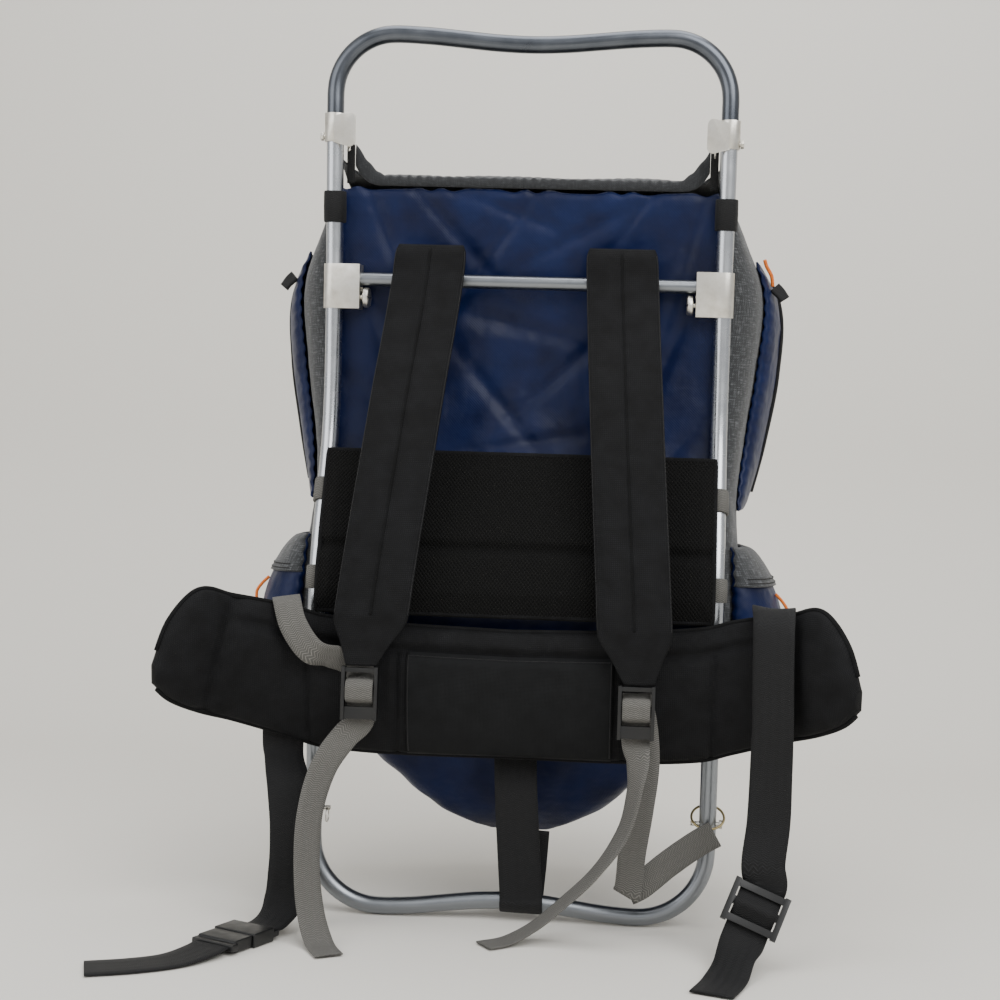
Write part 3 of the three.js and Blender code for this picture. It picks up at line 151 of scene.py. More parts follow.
def route_point(points: Points, t: float) -> Vector:
    """Point of a smooth curve through points, with t from 0 to 1 spread evenly over the stretches.

    Args:
        points: Places the curve passes through.
        t: Place along it.

    Returns:
        The point there.
    """
    last = len(points) - 1
    i = min(int(t * last), last - 1)
    w = t * last - i
    p1, p2 = points[i], points[i + 1]
    p0 = points[i - 1] if i > 0 else p1 * 2 - p2
    p3 = points[i + 2] if i + 2 <= last else p2 * 2 - p1
    d0, d1, d2 = (max((b - a).length, 1e-4) ** 0.5 for a, b in ((p0, p1), (p1, p2), (p2, p3)))
    leave = ((p1 - p0) / d0 - (p2 - p0) / (d0 + d1) + (p2 - p1) / d1) * d1
    arrive = ((p2 - p1) / d1 - (p3 - p1) / (d1 + d2) + (p3 - p2) / d2) * d1
    square = p2 * 3 - p1 * 3 - leave * 2 - arrive
    cube = p1 * 2 - p2 * 2 + leave + arrive
    return p1 + leave * w + square * w**2 + cube * w**3


def dense(points: Points, spacing: float) -> Points:
    """Points of the smooth curve through a few places, about so far apart."""
    length = sum((b - a).length for a, b in zip(points, points[1:]))
    return [route_point(points, t) for t in steps(max(int(length / spacing), 8))]


def grain(x: float, y: float, z: float, size: float) -> float:
    """Smooth noise from about -1 to 1, whose lumps are about so large."""
    return noise.noise(Vector((x, y, z)) / size)


# The frame's line and the bench


class FrameRow(NamedTuple):
    """Share of the frame's height, and how far forward its tubes stand there as a share of the bend."""

    up: float
    forward: float


@dataclass(frozen=True)
class FrameSizes:
    """Sizes of the tube frame."""

    height: float = 836
    spacing: float = 371
    tube: float = 16
    bend: float = 40
    slack: float = 0.3
    webbing: float = 2
    crossbar: float = 13
    crossbar_height: float = 600
    bottom_corner: float = 64
    bottom_rise: float = 10
    rows: tuple[FrameRow, ...] = (
        FrameRow(0, 0.54),
        FrameRow(0.16, 0.58),
        FrameRow(0.37, 1),
        FrameRow(0.55, 0.02),
        FrameRow(0.72, 0.16),
        FrameRow(0.9, 0.6),
        FrameRow(1, 0.68),
    )

    @property
    def tube_x(self) -> float:
        """Distance of the long tubes from the middle."""
        return self.spacing / 2

    def line(self, z: float) -> float:
        """Y of the tubes' centre line at a height."""
        return -self.bend * read_named(self.rows, z / self.height, "forward")

    def slope(self, z: float) -> float:
        """Change of that Y with height."""
        return (self.line(z + 1) - self.line(z - 1)) / 2

    @cached_property
    def cloth_set(self) -> float:
        """How far cloth lies from the tubes' centre line, clear of the loops round them."""
        steepest = max(math.hypot(1, self.slope(z)) for z in range(0, int(self.height), 14))
        return (self.tube / 2 + self.slack + self.webbing) * steepest + self.slack


SIZES = FrameSizes()


class Bench:
    """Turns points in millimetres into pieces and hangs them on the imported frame."""

    def __init__(self, frame: dict) -> None:
        """Works out where the floor's frame lies in the part's own.
        """
        self.nodes: dict[str, Piece] = frame["nodes"]
        low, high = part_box("crossbar")
        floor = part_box("lower_frame_tube")[0].z
        bar_y = SIZES.line(SIZES.crossbar_height) * MM
        self.shift = Vector((0, (low.y + high.y) / 2 - bar_y, floor))
        self.pieces: list[str] = []

    def place(self, point: Vector) -> Vector:
        """Millimetres in the floor's frame to metres in the part's."""
        return point * MM + self.shift

    def mesh(self, name: str, points: Points, faces: list[tuple], uvs: list[tuple] | None = None) -> Piece:
        """Makes a smooth mesh piece.

        Args:
            name: The piece's name.
            points: Its points, in millimetres.
            faces: Its faces, as indices of points.
            uvs: A place for each face corner in turn, in millimetres.

        Returns:
            The new object.
        """
        data = bpy.data.meshes.new(name)
        data.from_pydata([self.place(p) for p in points], [], faces)
        if uvs:
            layer = data.uv_layers.new(name="cut")
            for loop, uv in zip(layer.data, uvs):
                loop.uv = (uv[0] * MM, uv[1] * MM)
        data.shade_smooth()
        piece = bpy.data.objects.new(name, data)
        bpy.context.scene.collection.objects.link(piece)
        return piece

    def grid(self, name: str, rows: list[Points], closed: bool = False, capped: bool = False) -> Piece:
        """Makes a piece from rows of points, with its cloth's lengths as UVs.

        Args:
            name: The piece's name.
            rows: Rows of equally many points.
            closed: Whether each row is a ring.
            capped: Whether the first and last rings are filled.

        Returns:
            The new object.
        """
        count = len(rows[0])
        columns = count if closed else count - 1
        middle = count // 2
        across, along = [], [0.0]
        for before, row in zip(rows, rows[1:]):
            along.append(along[-1] + (row[middle] - before[middle]).length)
        for row in rows:
            ring = row + [row[0]]
            sums = [0.0]
            for a, b in zip(ring, ring[1:]):
                sums.append(sums[-1] + (b - a).length)
            across.append([s - sums[middle] for s in sums])
        faces, uvs = [], []
        for j in range(len(rows) - 1):
            for i in range(columns):
                k = (i + 1) % count
                faces.append((j * count + i, j * count + k, (j + 1) * count + k, (j + 1) * count + i))
                uvs += [(across[j][i], along[j]), (across[j][i + 1], along[j])]
                uvs += [(across[j + 1][i + 1], along[j + 1]), (across[j + 1][i], along[j + 1])]
        if capped:
            for j, order in ((0, range(count - 1, -1, -1)), (len(rows) - 1, range(count))):
                faces.append(tuple(j * count + i for i in order))
                uvs += [(across[j][i], along[j]) for i in order]
        return self.mesh(name, [p for row in rows for p in row], faces, uvs)

    def cloth(self, name: str, rows: list[Points], thickness: float, outward: Vector) -> Piece:
        """Makes a cloth wall under a grid of points.

        Args:
            name: The piece's name.
            rows: Rows of points on its outer skin.
            thickness: How thick it is.
            outward: A direction that its middle faces.

        Returns:
            The new object.
        """
        j, i = len(rows) // 2, len(rows[0]) // 2
        facing = (rows[j][i + 1] - rows[j][i]).cross(rows[j + 1][i] - rows[j][i])
        if facing.dot(outward) < 0:
            rows = [row[::-1] for row in rows]
        piece = self.grid(name, rows)
        wall = piece.modifiers.new("wall", "SOLIDIFY")
        wall.thickness = thickness * MM
        wall.offset = -1
        return piece

    def sweep(self, name: str, path: Points, radius: float, sides: int, looped: bool = False) -> Piece:
        """Makes a round rod or wire along a path.

        Args:
            name: The piece's name.
            path: Points close together.
            radius: The rod's radius.
            sides: Faces round it.
            looped: Whether its end meets its start.

        Returns:
            The new object.
        """
        rows = []
        normal = Vector((0, 1, 0))
        for i, point in enumerate(path):
            ahead = path[(i + 1) % len(path)] if looped else path[min(i + 1, len(path) - 1)]
            behind = path[i - 1] if looped or i else path[0]
            along = (ahead - behind).normalized()
            normal = (normal - along * normal.dot(along)).normalized()
            if normal.length < 0.5:
                normal = along.orthogonal().normalized()
            other = along.cross(normal)
            turns = [2 * math.pi * s / sides for s in range(sides)]
            rows.append([point + (normal * math.cos(a) + other * math.sin(a)) * radius for a in turns])
        if looped:
            rows.append(rows[0])
        return self.grid(name, rows, closed=True, capped=not looped)

    def rod(
        self,
        name: str,
        path: Points,
        radius: float,
        sides: int,
        finish: "Finish",
        slot: str,
        nodes: Iterable[str] = (),
        looped: bool = False,
    ) -> None:
        """Makes a rod as sweep() does, and hangs it as hang() does."""
        self.hang(self.sweep(name, path, radius, sides, looped), finish, slot, nodes)

    def fitting(self, node: str, name: str, edge: float) -> Piece:
        """Copies a hard node and rounds its edges.

        Args:
            node: The CAD node.
            name: The new piece's name.
            edge: Radius of its edges.

        Returns:
            The new object.
        """
        data = self.nodes[node].data.copy()
        data.materials.clear()
        data.name = name
        piece = bpy.data.objects.new(name, data)
        bpy.context.scene.collection.objects.link(piece)
        weld = piece.modifiers.new("weld", "WELD")
        weld.merge_threshold = 0.01 * MM
        flats = piece.modifiers.new("flats", "DECIMATE")
        flats.decimate_type = "DISSOLVE"
        flats.angle_limit = math.radians(2)
        rounding = piece.modifiers.new("edges", "BEVEL")
        rounding.width = edge * MM
        rounding.segments = 3
        rounding.limit_method = "ANGLE"
        rounding.angle_limit = math.radians(40)
        rounding.harden_normals = True
        data.shade_smooth()
        return piece

    def hang(
        self, piece: Piece, finish: "Finish", slot: str, nodes: Iterable[str] = (), body: str = "pack"
    ) -> None:
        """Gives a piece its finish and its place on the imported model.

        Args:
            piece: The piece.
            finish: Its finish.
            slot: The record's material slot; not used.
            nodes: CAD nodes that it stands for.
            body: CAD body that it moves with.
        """
        piece.data.materials.clear()
        piece.data.materials.append(finish.material())
        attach(piece, body)
        names = tuple(nodes)
        if names:
            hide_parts(*names)
        self.pieces.append(piece.name)
        LOG.info("piece %s stands for %s", piece.name, ", ".join(names) or "nothing")


# Finishes


def linear(code: str) -> tuple[float, float, float, float]:
    """Turns an sRGB hex colour into Blender's linear one."""
    parts = (int(code[i : i + 2], 16) / 255 for i in (1, 3, 5))
    return tuple(c / 12.92 if c <= 0.04045 else ((c + 0.055) / 1.055) ** 2.4 for c in parts) + (1.0,)


def add_node(tree: Tree, kind: str, sockets: Sockets | None = None, **settings: object) -> Shader:
    """Adds a shader node with its settings, its values and its links.

    Args:
        tree: The material's nodes.
        kind: The node's type.
        sockets: A value, or the socket to link from, for each input.
        **settings: The node's own settings.

    Returns:
        The new node.
    """
    made = tree.nodes.new(kind)
    for key, value in settings.items():
        setattr(made, key, value)
    for key, value in (sockets or {}).items():
        if isinstance(value, Socket):
            tree.links.new(value, made.inputs[key])
        else:
            made.inputs[key].default_value = value
    return made


@dataclass(frozen=True)
class Finish:
    """What a surface is made of, how it was made, and how that looks."""

    name: str
    colour: str
    roughness: float = 0.6
    specular: float = 0.5
    sheen: float = 0.0

    def material(self) -> bpy.types.Material:
        """The finish as a material, made once."""
        known = bpy.data.materials.get(self.name)
        if known:
            return known
        made = bpy.data.materials.new(self.name)
        made.use_nodes = True
        shader = made.node_tree.nodes["Principled BSDF"]
        shader.inputs["Base Color"].default_value = linear(self.colour)
        shader.inputs["Roughness"].default_value = self.roughness
        shader.inputs["Specular IOR Level"].default_value = self.specular
        shader.inputs["Sheen Weight"].default_value = self.sheen
        self.paint(made.node_tree, shader)
        return made

    def paint(self, tree: Tree, shader: Shader) -> None:
        """Adds the finish's own pattern to the plain shader."""

    def cut(self, tree: Tree, across: float, along: float) -> Socket:
        """Coordinates on the cloth or metal, counted in pattern steps of so many millimetres."""
        place = add_node(tree, "ShaderNodeUVMap", uv_map="cut")
        scale = (1 / (across * MM), 1 / (along * MM), 1.0)
        sockets = {0: place.outputs["UV"], "Scale": scale}
        return add_node(tree, "ShaderNodeMapping", sockets, vector_type="POINT").outputs[0]

    def solid(self, tree: Tree) -> Socket:
        """Coordinates in the part's own space, in metres."""
        return add_node(tree, "ShaderNodeTexCoord").outputs["Object"]

    def reckon(self, tree: Tree, what: str, first: object, second: object = 0.0) -> Socket:
        """One sum of two values."""
        return add_node(tree, "ShaderNodeMath", {0: first, 1: second}, operation=what).outputs[0]

    def waves(self, tree: Tree, place: Socket, turn: float = math.pi) -> tuple:
        """Sines across and along the cloth, so many radians a step."""
        parts = add_node(tree, "ShaderNodeSeparateXYZ", {0: place})
        angles = (self.reckon(tree, "MULTIPLY", parts.outputs[i], turn) for i in (0, 1))
        return tuple(self.reckon(tree, "SINE", angle) for angle in angles)

    def speckle(self, tree: Tree, place: object, scale: float, detail: float = 3.0) -> Socket:
        """Cloudy noise from 0 to 1."""
        sockets = {"Vector": place, "Scale": scale, "Detail": detail}
        return add_node(tree, "ShaderNodeTexNoise", sockets).outputs[0]

    def blend(self, tree: Tree, share: object, low: str, high: str) -> Socket:
        """Colour between two, by a share from 0 to 1."""
        mix = add_node(tree, "ShaderNodeMix", {0: share, 6: linear(low), 7: linear(high)}, data_type="RGBA")
        return mix.outputs[2]

    def spread(self, tree: Tree, value: object, low: float, high: float) -> Socket:
        """Value from 0 to 1 spread over another range."""
        sockets = {"Value": value, "To Min": low, "To Max": high}
        return add_node(tree, "ShaderNodeMapRange", sockets).outputs[0]

    def crossing(self, tree: Tree, place: Socket) -> Socket:
        """Height from 0 to 1 of strands that cross on both slants, one a step."""
        ends = add_node(tree, "ShaderNodeSeparateXYZ", {0: place}).outputs[:2]
        slants = (self.reckon(tree, what, *ends) for what in ("ADD", "SUBTRACT"))
        angles = (self.reckon(tree, "MULTIPLY", slant, math.pi) for slant in slants)
        sines = (self.reckon(tree, "SINE", angle) for angle in angles)
        return self.reckon(tree, "ABSOLUTE", self.reckon(tree, "MULTIPLY", *sines))

    def tint(self, tree: Tree, shader: Shader, share: object, other: str) -> None:
        """Colours the shader from the finish's colour to another, by a share from 0 to 1."""
        tree.links.new(self.blend(tree, share, self.colour, other), shader.inputs["Base Color"])

    def gloss(self, tree: Tree, shader: Shader, share: object, below: float, above: float) -> None:
        """Spreads the roughness round the finish's own, by a share from 0 to 1."""
        low, high = self.roughness - below, self.roughness + above
        tree.links.new(self.spread(tree, share, low, high), shader.inputs["Roughness"])

    def relief(self, tree: Tree, shader: Shader, layers: Sequence[tuple]) -> None:
        """Adds bump layers.

        Args:
            tree: The material's nodes.
            shader: The shader that takes them.
            layers: Height socket, and its depth in millimetres, for each layer.
        """
        before = None
        for height, depth in layers:
            sockets = {"Height": height, "Distance": depth * MM, "Strength": 1.0}
            if before:
                sockets["Normal"] = before
            before = add_node(tree, "ShaderNodeBump", sockets).outputs[0]
        tree.links.new(before, shader.inputs["Normal"])


@dataclass(frozen=True)
class AnodisedTube(Finish):
    """Drawn and anodised aluminium tube: even and satin, with faint draw lines along it."""

    draw_line: float = 1.2
    scuff: str = "#8f9296"

    def paint(self, tree: Tree, shader: Shader) -> None:
        """Adds draw lines and soft handling marks."""
        shader.inputs["Metallic"].default_value = 1.0
        lines = self.speckle(tree, self.cut(tree, self.draw_line, 60), 1.0)
        marks = self.speckle(tree, self.solid(tree), 45.0, 5.0)
        tone = self.reckon(tree, "MULTIPLY", lines, marks)
        self.tint(tree, shader, self.spread(tree, tone, 0.0, 1.3), self.scuff)
        self.gloss(tree, shader, marks, 0.06, 0.16)
        self.relief(tree, shader, [(lines, 0.02)])


@dataclass(frozen=True)
class PlatedSheet(Finish):
    """Nickel plated steel sheet: bright and warm, with fine scratches and duller patches."""

    scratch: float = 0.5
    dull: str = "#8d877a"

    def paint(self, tree: Tree, shader: Shader) -> None:
        """Adds scratches, and patches that the air has dulled."""
        shader.inputs["Metallic"].default_value = 1.0
        place = self.solid(tree)
        scale = (1 / (self.scratch * MM), 1 / (self.scratch * MM), 60.0)
        stretched = add_node(tree, "ShaderNodeMapping", {0: place, "Scale": scale}).outputs[0]
        scratches = self.speckle(tree, stretched, 1.0)
        patches = self.speckle(tree, place, 120.0, 6.0)
        share = self.spread(tree, patches, -0.35, 1.1)
        self.tint(tree, shader, share, self.dull)
        self.gloss(tree, shader, patches, 0.08, 0.2)
        self.relief(tree, shader, [(scratches, 0.012), (patches, 0.05)])


@dataclass(frozen=True)
class PackCloth(Finish):
    """Coated nylon pack cloth: a fine plain weave with a soft sheen, and small creases from packing."""

    light: str = "#0c2356"
    thread: float = 1.3  # drawn about twice as coarse as the real weave, so that it shows
    crease: float = 26.0
    crease_depth: float = 2.2
    specular: float = 0.22
    sheen: float = 0.03

    def paint(self, tree: Tree, shader: Shader) -> None:
        """Adds the weave, uneven dye and small creases."""
        shader.inputs["Sheen Roughness"].default_value = 0.45
        shader.inputs["Sheen Tint"].default_value = linear(self.light)
        across, along = self.waves(tree, self.cut(tree, self.thread, self.thread))
        over = self.reckon(tree, "MULTIPLY", across, along)
        place = self.solid(tree)
        dye = self.speckle(tree, place, 22.0, 6.0)
        share = self.spread(tree, dye, -0.25, 0.75)
        self.tint(tree, shader, share, self.light)
        creases = self.speckle(tree, place, 1000 / self.crease, 2.5)
        self.gloss(tree, shader, dye, 0.05, 0.1)
        self.relief(tree, shader, [(creases, self.crease_depth), (over, 0.05)])


@dataclass(frozen=True)
class HeatherCloth(Finish):
    """Heathered polyester cloth: light and dark yarns mixed in a plain weave, matt."""

    light: str = "#85878a"
    thread: float = 1.1
    slub: float = 9.0
    sheen: float = 0.2

    def paint(self, tree: Tree, shader: Shader) -> None:
        """Adds yarns of two greys, slubs along them and soft creases."""
        across, along = self.waves(tree, self.cut(tree, self.thread, self.thread))
        over = self.reckon(tree, "MULTIPLY", across, along)
        slub = self.slub * self.thread
        warp = self.speckle(tree, self.cut(tree, self.thread, slub), 1.0, 1.0)
        weft = self.speckle(tree, self.cut(tree, slub, self.thread), 1.0, 1.0)
        yarns = self.reckon(tree, "MULTIPLY", warp, weft)
        self.tint(tree, shader, self.spread(tree, yarns, -0.9, 3.0), self.light)
        creases = self.speckle(tree, self.solid(tree), 34.0, 3.0)
        self.relief(tree, shader, [(creases, 1.2), (over, 0.09), (yarns, 0.1)])


@dataclass(frozen=True)
class PadCloth(Finish):
    """Textured polyester over foam: a coarse plain weave, dull black with worn, dusty high places."""

    light: str = "#1f2023"
    thread: float = 1.8
    crease_depth: float = 1.8
    weave_depth: float = 0.26
    specular: float = 0.22

    def paint(self, tree: Tree, shader: Shader) -> None:
        """Adds the weave, puckers and dust."""
        across, along = self.waves(tree, self.cut(tree, self.thread, self.thread))
        over = self.reckon(tree, "ABSOLUTE", self.reckon(tree, "MULTIPLY", across, along))
        place = self.solid(tree)
        dust = self.speckle(tree, place, 60.0, 8.0)
        share = self.reckon(tree, "MULTIPLY", self.spread(tree, dust, -0.4, 1.2), over)
        self.tint(tree, shader, share, self.light)
        puckers = self.speckle(tree, place, 48.0, 2.0)
        self.relief(tree, shader, [(puckers, self.crease_depth), (over, self.weave_depth)])


@dataclass(frozen=True)
class SpacerMesh(Finish):
    """Knitted spacer mesh: rows of dark holes in a springy net, black, with lint on the net."""

    light: str = "#191918"
    hole: float = 4.4
    row: float = 3.4
    depth: float = 1.3
    specular: float = 0.2

    def paint(self, tree: Tree, shader: Shader) -> None:
        """Adds the net and its holes."""
        net = self.crossing(tree, self.cut(tree, self.hole, self.row))
        fuzz = self.speckle(tree, self.solid(tree), 700.0, 4.0)
        wall = self.reckon(tree, "POWER", self.reckon(tree, "SUBTRACT", 1.0, net), 2.0)
        share = self.reckon(tree, "MULTIPLY", wall, self.spread(tree, fuzz, 0.1, 1.2))
        self.tint(tree, shader, share, self.light)
        self.relief(tree, shader, [(wall, self.depth), (fuzz, 0.25)])


@dataclass(frozen=True)
class Webbing(Finish):
    """Woven strap: firm ribs across it, in two leaning columns that make a faint herringbone."""

    light: str = "#191a1c"
    rib: float = 1.7
    column: float = 4.0
    rib_depth: float = 0.28
    specular: float = 0.3
    sheen: float = 0.03

    def paint(self, tree: Tree, shader: Shader) -> None:
        """Adds the ribs, the columns and a little fuzz."""
        parts = add_node(tree, "ShaderNodeSeparateXYZ", {0: self.cut(tree, self.column, self.rib)})
        lean = self.reckon(tree, "PINGPONG", parts.outputs[0], 1.0)
        angle = self.reckon(tree, "MULTIPLY", self.reckon(tree, "ADD", parts.outputs[1], lean), 2 * math.pi)
        ribs = self.spread(tree, self.reckon(tree, "SINE", angle), 0.0, 1.0)
        fuzz = self.speckle(tree, self.solid(tree), 500.0, 5.0)
        share = self.reckon(tree, "MULTIPLY", ribs, self.spread(tree, fuzz, 0.2, 1.2))
        self.tint(tree, shader, share, self.light)
        self.relief(tree, shader, [(ribs, self.rib_depth), (lean, 0.12), (fuzz, 0.12)])


@dataclass(frozen=True)
class MouldedPlastic(Finish):
    """Injection moulded acetal: smooth and half glossy, with a faint mould grain and scuffs."""

    grit: float = 0.6

    def paint(self, tree: Tree, shader: Shader) -> None:
        """Adds the mould's grain, and scuffs that take the gloss down."""
        place = self.solid(tree)
        grit = self.speckle(tree, place, 1 / (self.grit * MM), 2.0)
        scuffs = self.speckle(tree, place, 90.0, 6.0)
        self.gloss(tree, shader, scuffs, 0.1, 0.25)
        self.relief(tree, shader, [(grit, 0.03)])


@dataclass(frozen=True)
class BraidedCord(Finish):
    """Braided polyester cord: slanting plaits that cross, bright orange."""

    light: str = "#ff9a3c"
    plait: float = 1.4

    def paint(self, tree: Tree, shader: Shader) -> None:
        """Adds the plaits."""
        braid = self.crossing(tree, self.cut(tree, self.plait, self.plait))
        self.tint(tree, shader, braid, self.light)
        self.relief(tree, shader, [(braid, 0.3)])


@dataclass(frozen=True)
class Studio(Finish):
    """Matt painted studio board: pale and even, and clear when seen from its back."""

    def paint(self, tree: Tree, shader: Shader) -> None:
        """Lets a camera behind the board look through it."""
        behind = add_node(tree, "ShaderNodeNewGeometry").outputs["Backfacing"]
        clear = add_node(tree, "ShaderNodeBsdfTransparent").outputs[0]
        mixed = add_node(tree, "ShaderNodeMixShader", {0: behind, 1: shader.outputs[0], 2: clear})
        tree.links.new(mixed.outputs[0], tree.nodes["Material Output"].inputs["Surface"])


# One anodised tube painted in three brightnesses: the long tubes' pale colour and the bends' darker greys are
# painted reflections.
UPPER_TUBE = AnodisedTube("anodised_tube_grey", "#4a4e55", 0.26, scuff="#7d8187")
PAINTED_BRIGHT_TUBE = AnodisedTube("anodised_tube_bright", "#b4b8bd", 0.22, scuff="#d8dadd")
LOWER_TUBE = AnodisedTube("anodised_tube_satin", "#83878c", 0.28)
NICKEL = PlatedSheet("nickel_plated_steel", "#f1eee6", 0.3, dull="#b9b4a8")
BRASS = PlatedSheet("plated_brass_wire", "#c9b787", 0.3, dull="#7d7258")
BLUE = PackCloth("coated_nylon_blue", "#040c2a", 0.38)
GREY = HeatherCloth("heathered_polyester_grey", "#26282a", 0.85, light="#5e6063")
RIM = HeatherCloth("gathered_polyester_dark", "#15171a", 0.85, light="#313336")
PAD = PadCloth("textured_polyester_black", "#040405", 0.8)
PATCH = PadCloth("flat_polyester_black", "#060708", 0.78, light="#1d1e20", thread=1.2, crease_depth=0.5)
MESH = SpacerMesh("spacer_mesh_black", "#020202", 0.9)
BINDING = PadCloth("binding_tape_black", "#050505", 0.9, crease_depth=0.4)
BLACK_STRAP = Webbing("webbing_black", "#050506", 0.7)
GREY_STRAP = Webbing("webbing_grey", "#4f4e4b", 0.8, light="#7d7b76")
PLASTIC = MouldedPlastic("acetal_black", "#08090a", 0.36)
ORANGE = BraidedCord("braided_cord_orange", "#d8560f", 0.7)
THREAD = BraidedCord("bonded_thread_black", "#050506", 0.6, light="#1a1a1c", plait=0.5)
FLOOR = Studio("studio_board_pale", "#dcd9d2", 0.9)


# Frame and fittings


@dataclass(frozen=True)
class TubeFrame:
    """The bent tubes, the crossbar and their fittings."""

    top_corner: float = 56
    top_dip: float = 8
    upper_joint: float = 740
    lower_joint: float = 172
    bar_inset: float = 2
    step: float = 4
    sides: int = 28
    edge: float = 0.5
    split_ring: float = 13
    split_turns: float = 1.9
    split_pitch: float = 0.45
    wire: float = 1.5
    loop_gap: float = 0.6

    def hoop(self, leg_end: float, bar_z: float, corner: float, bow: float) -> Points:
        """Centre line of one U of tube.

        Args:
            leg_end: Height at which its legs end.
            bar_z: Height of its bar.
            corner: Radius of its corners.
            bow: How far the bar bows back towards the legs.

        Returns:
            Points along it, from the left leg to the right one.
        """
        up = math.copysign(1, bar_z - leg_end)
        flat = SIZES.tube_x - corner
        half = [Vector((-SIZES.tube_x, 0, z)) for z in steps(4, leg_end, bar_z - up * corner)]
        for turn in steps(8, 0, math.pi / 2)[1:]:
            x, drop = -flat - corner * math.cos(turn), corner * (1 - math.sin(turn))
            half.append(Vector((x, 0, bar_z - up * drop)))
        for share in steps(4, -1, 0)[1:]:
            half.append(Vector((flat * share, 0, bar_z - up * bow * math.cos(math.pi / 2 * share) ** 2)))
        points = half + [Vector((-p.x, 0, p.z)) for p in half[-2::-1]]
        return dense([Vector((p.x, SIZES.line(p.z), p.z)) for p in points], self.step)

    def build(self, bench: Bench) -> None:
        """Makes the tubes, the crossbar, the fittings and the loops round the tubes."""
        radius = SIZES.tube / 2
        top = self.hoop(self.upper_joint + SIZES.slack, SIZES.height - radius, self.top_corner, self.top_dip)
        # The bends' darker greys are painted reflections.
        bench.rod("upper_tube_bent", top, radius, self.sides, UPPER_TUBE, "dark_tube", ["upper_frame_tube"])
        low = self.hoop(self.lower_joint - SIZES.slack, radius, SIZES.bottom_corner, SIZES.bottom_rise)
        bench.rod("lower_tube_bent", low, radius, self.sides, LOWER_TUBE, "satin_tube", ["lower_frame_tube"])
        for side in Side:
            line = [
                Vector((side.value * SIZES.tube_x, SIZES.line(z), z))
                for z in steps(110, self.lower_joint, self.upper_joint)
            ]
            name, nodes = f"long_tube_{side.word}", [f"main_tube_{side.word}"]
            # The long tubes' pale colour is a painted reflection.
            bench.rod(name, line, radius, self.sides, PAINTED_BRIGHT_TUBE, "bright_tube", nodes)
            self.fittings(bench, side)
        end = SIZES.tube_x - radius - self.bar_inset
        y = SIZES.line(SIZES.crossbar_height)
        bar = [Vector((x, y, SIZES.crossbar_height)) for x in steps(40, -end, end)]
        bench.rod("crossbar_round", bar, SIZES.crossbar / 2, 24, LOWER_TUBE, "satin_tube", ["crossbar"])
        self.rings(bench)

    def fittings(self, bench: Bench, side: Side) -> None:
        """Rounds the edges of one side's clamp, screw, collar and pins, and makes its webbing loops."""
        for node, body in (
            ("crossbar_clamp", "pack"),
            ("thumb_screw", f"{side.word}_screw"),
            ("collar", "pack"),
            ("upper_pin", "pack"),
            ("lower_pin", "pack"),
        ):
            name = f"{node}_{side.word}"
            piece = bench.fitting(name, f"{name}_rounded", self.edge * (0.5 if "pin" in node else 1))
            bench.hang(piece, NICKEL, "nickel_fittings", [name], body)
        for node, height, length, finish, slot in (
            ("tube_sleeve", 667, 29, BLACK_STRAP, "black_webbing"),
            ("upper_side_loop", 397, 21, GREY_STRAP, "grey_webbing"),
            ("lower_side_loop", 316, 21, GREY_STRAP, "grey_webbing"),
        ):
            piece = self.loop(bench, side, f"{node}_woven", height, length)
            bench.hang(piece, finish, slot, [f"{node}_{side.word}"])

    def loop(self, bench: Bench, side: Side, name: str, height: float, length: float) -> Piece:
        """Makes a strip of webbing sewn round a long tube.

        Args:
            bench: Where pieces are made.
            side: The tube's side.
            name: The piece's name, without its side.
            height: Height of its middle.
            length: How far it reaches along the tube.

        Returns:
            The new object.
        """
        inner = SIZES.tube / 2 + self.loop_gap
        outer = inner + SIZES.webbing
        profile = [(inner, 0.0), (outer - 0.5, 0.0), (outer, 0.03), (outer + 0.2, 0.5), (outer, 0.97)]
        profile += [(outer - 0.5, 1.0), (inner, 1.0), (inner, 0.0)]
        rows = []
        for radius, share in profile:
            z = height + length * (share - 0.5)
            back = Vector((0, 1, -SIZES.slope(z))).normalized()
            ring = []
            for turn in steps(40, 0, 2 * math.pi)[:-1]:
                round_out = radius + 0.25 * math.sin(5 * turn)
                centre = Vector((side.value * SIZES.tube_x, SIZES.line(z), z))
                across = Vector((math.cos(turn) * round_out, 0, 0))
                ring.append(centre + across + back * math.sin(turn) * round_out)
            rows.append(ring)
        return bench.grid(f"{name}_{side.word}", rows, closed=True)

    def rings(self, bench: Bench) -> None:
        """Makes the split rings of two turns, and rounds the strap's ring."""
        for name in ("upper_ring_left", "upper_ring_right", "lower_ring_left"):
            low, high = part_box(name)
            middle = ((low + high) / 2 - bench.shift) / MM
            coil = []
            whole = 2 * self.split_turns * math.pi
            for turn in steps(90, 0, whole):
                drift = self.split_pitch * (turn / whole - 0.5)
                radius = self.split_ring / 2
                coil.append(middle + Vector((drift, radius * math.cos(turn), radius * math.sin(turn))))
            bench.rod(f"{name}_split", coil, self.wire * 0.35, 8, NICKEL, "nickel_fittings", [name])
        piece = bench.fitting("strap_ring_right", "strap_ring_bent", 0.1)
        piece.modifiers.remove(piece.modifiers["edges"])
        soft = piece.modifiers.new("soft", "SUBSURF")
        soft.levels = 2
        soft.render_levels = 2
        bench.hang(piece, BRASS, "brass_ring", ["strap_ring_right"])


# Bag


class BagRow(NamedTuple):
    """Shares of the bag's sizes at a share of its height."""

    up: float
    half: float
    side: float
    tuck: float
    depth: float
    crown: float


class Crease(NamedTuple):
    """One crease of the front cloth: its middle, reach, lean, depth and width."""

    across: float
    up: float
    length: float
    lean: float
    depth: float
    width: float


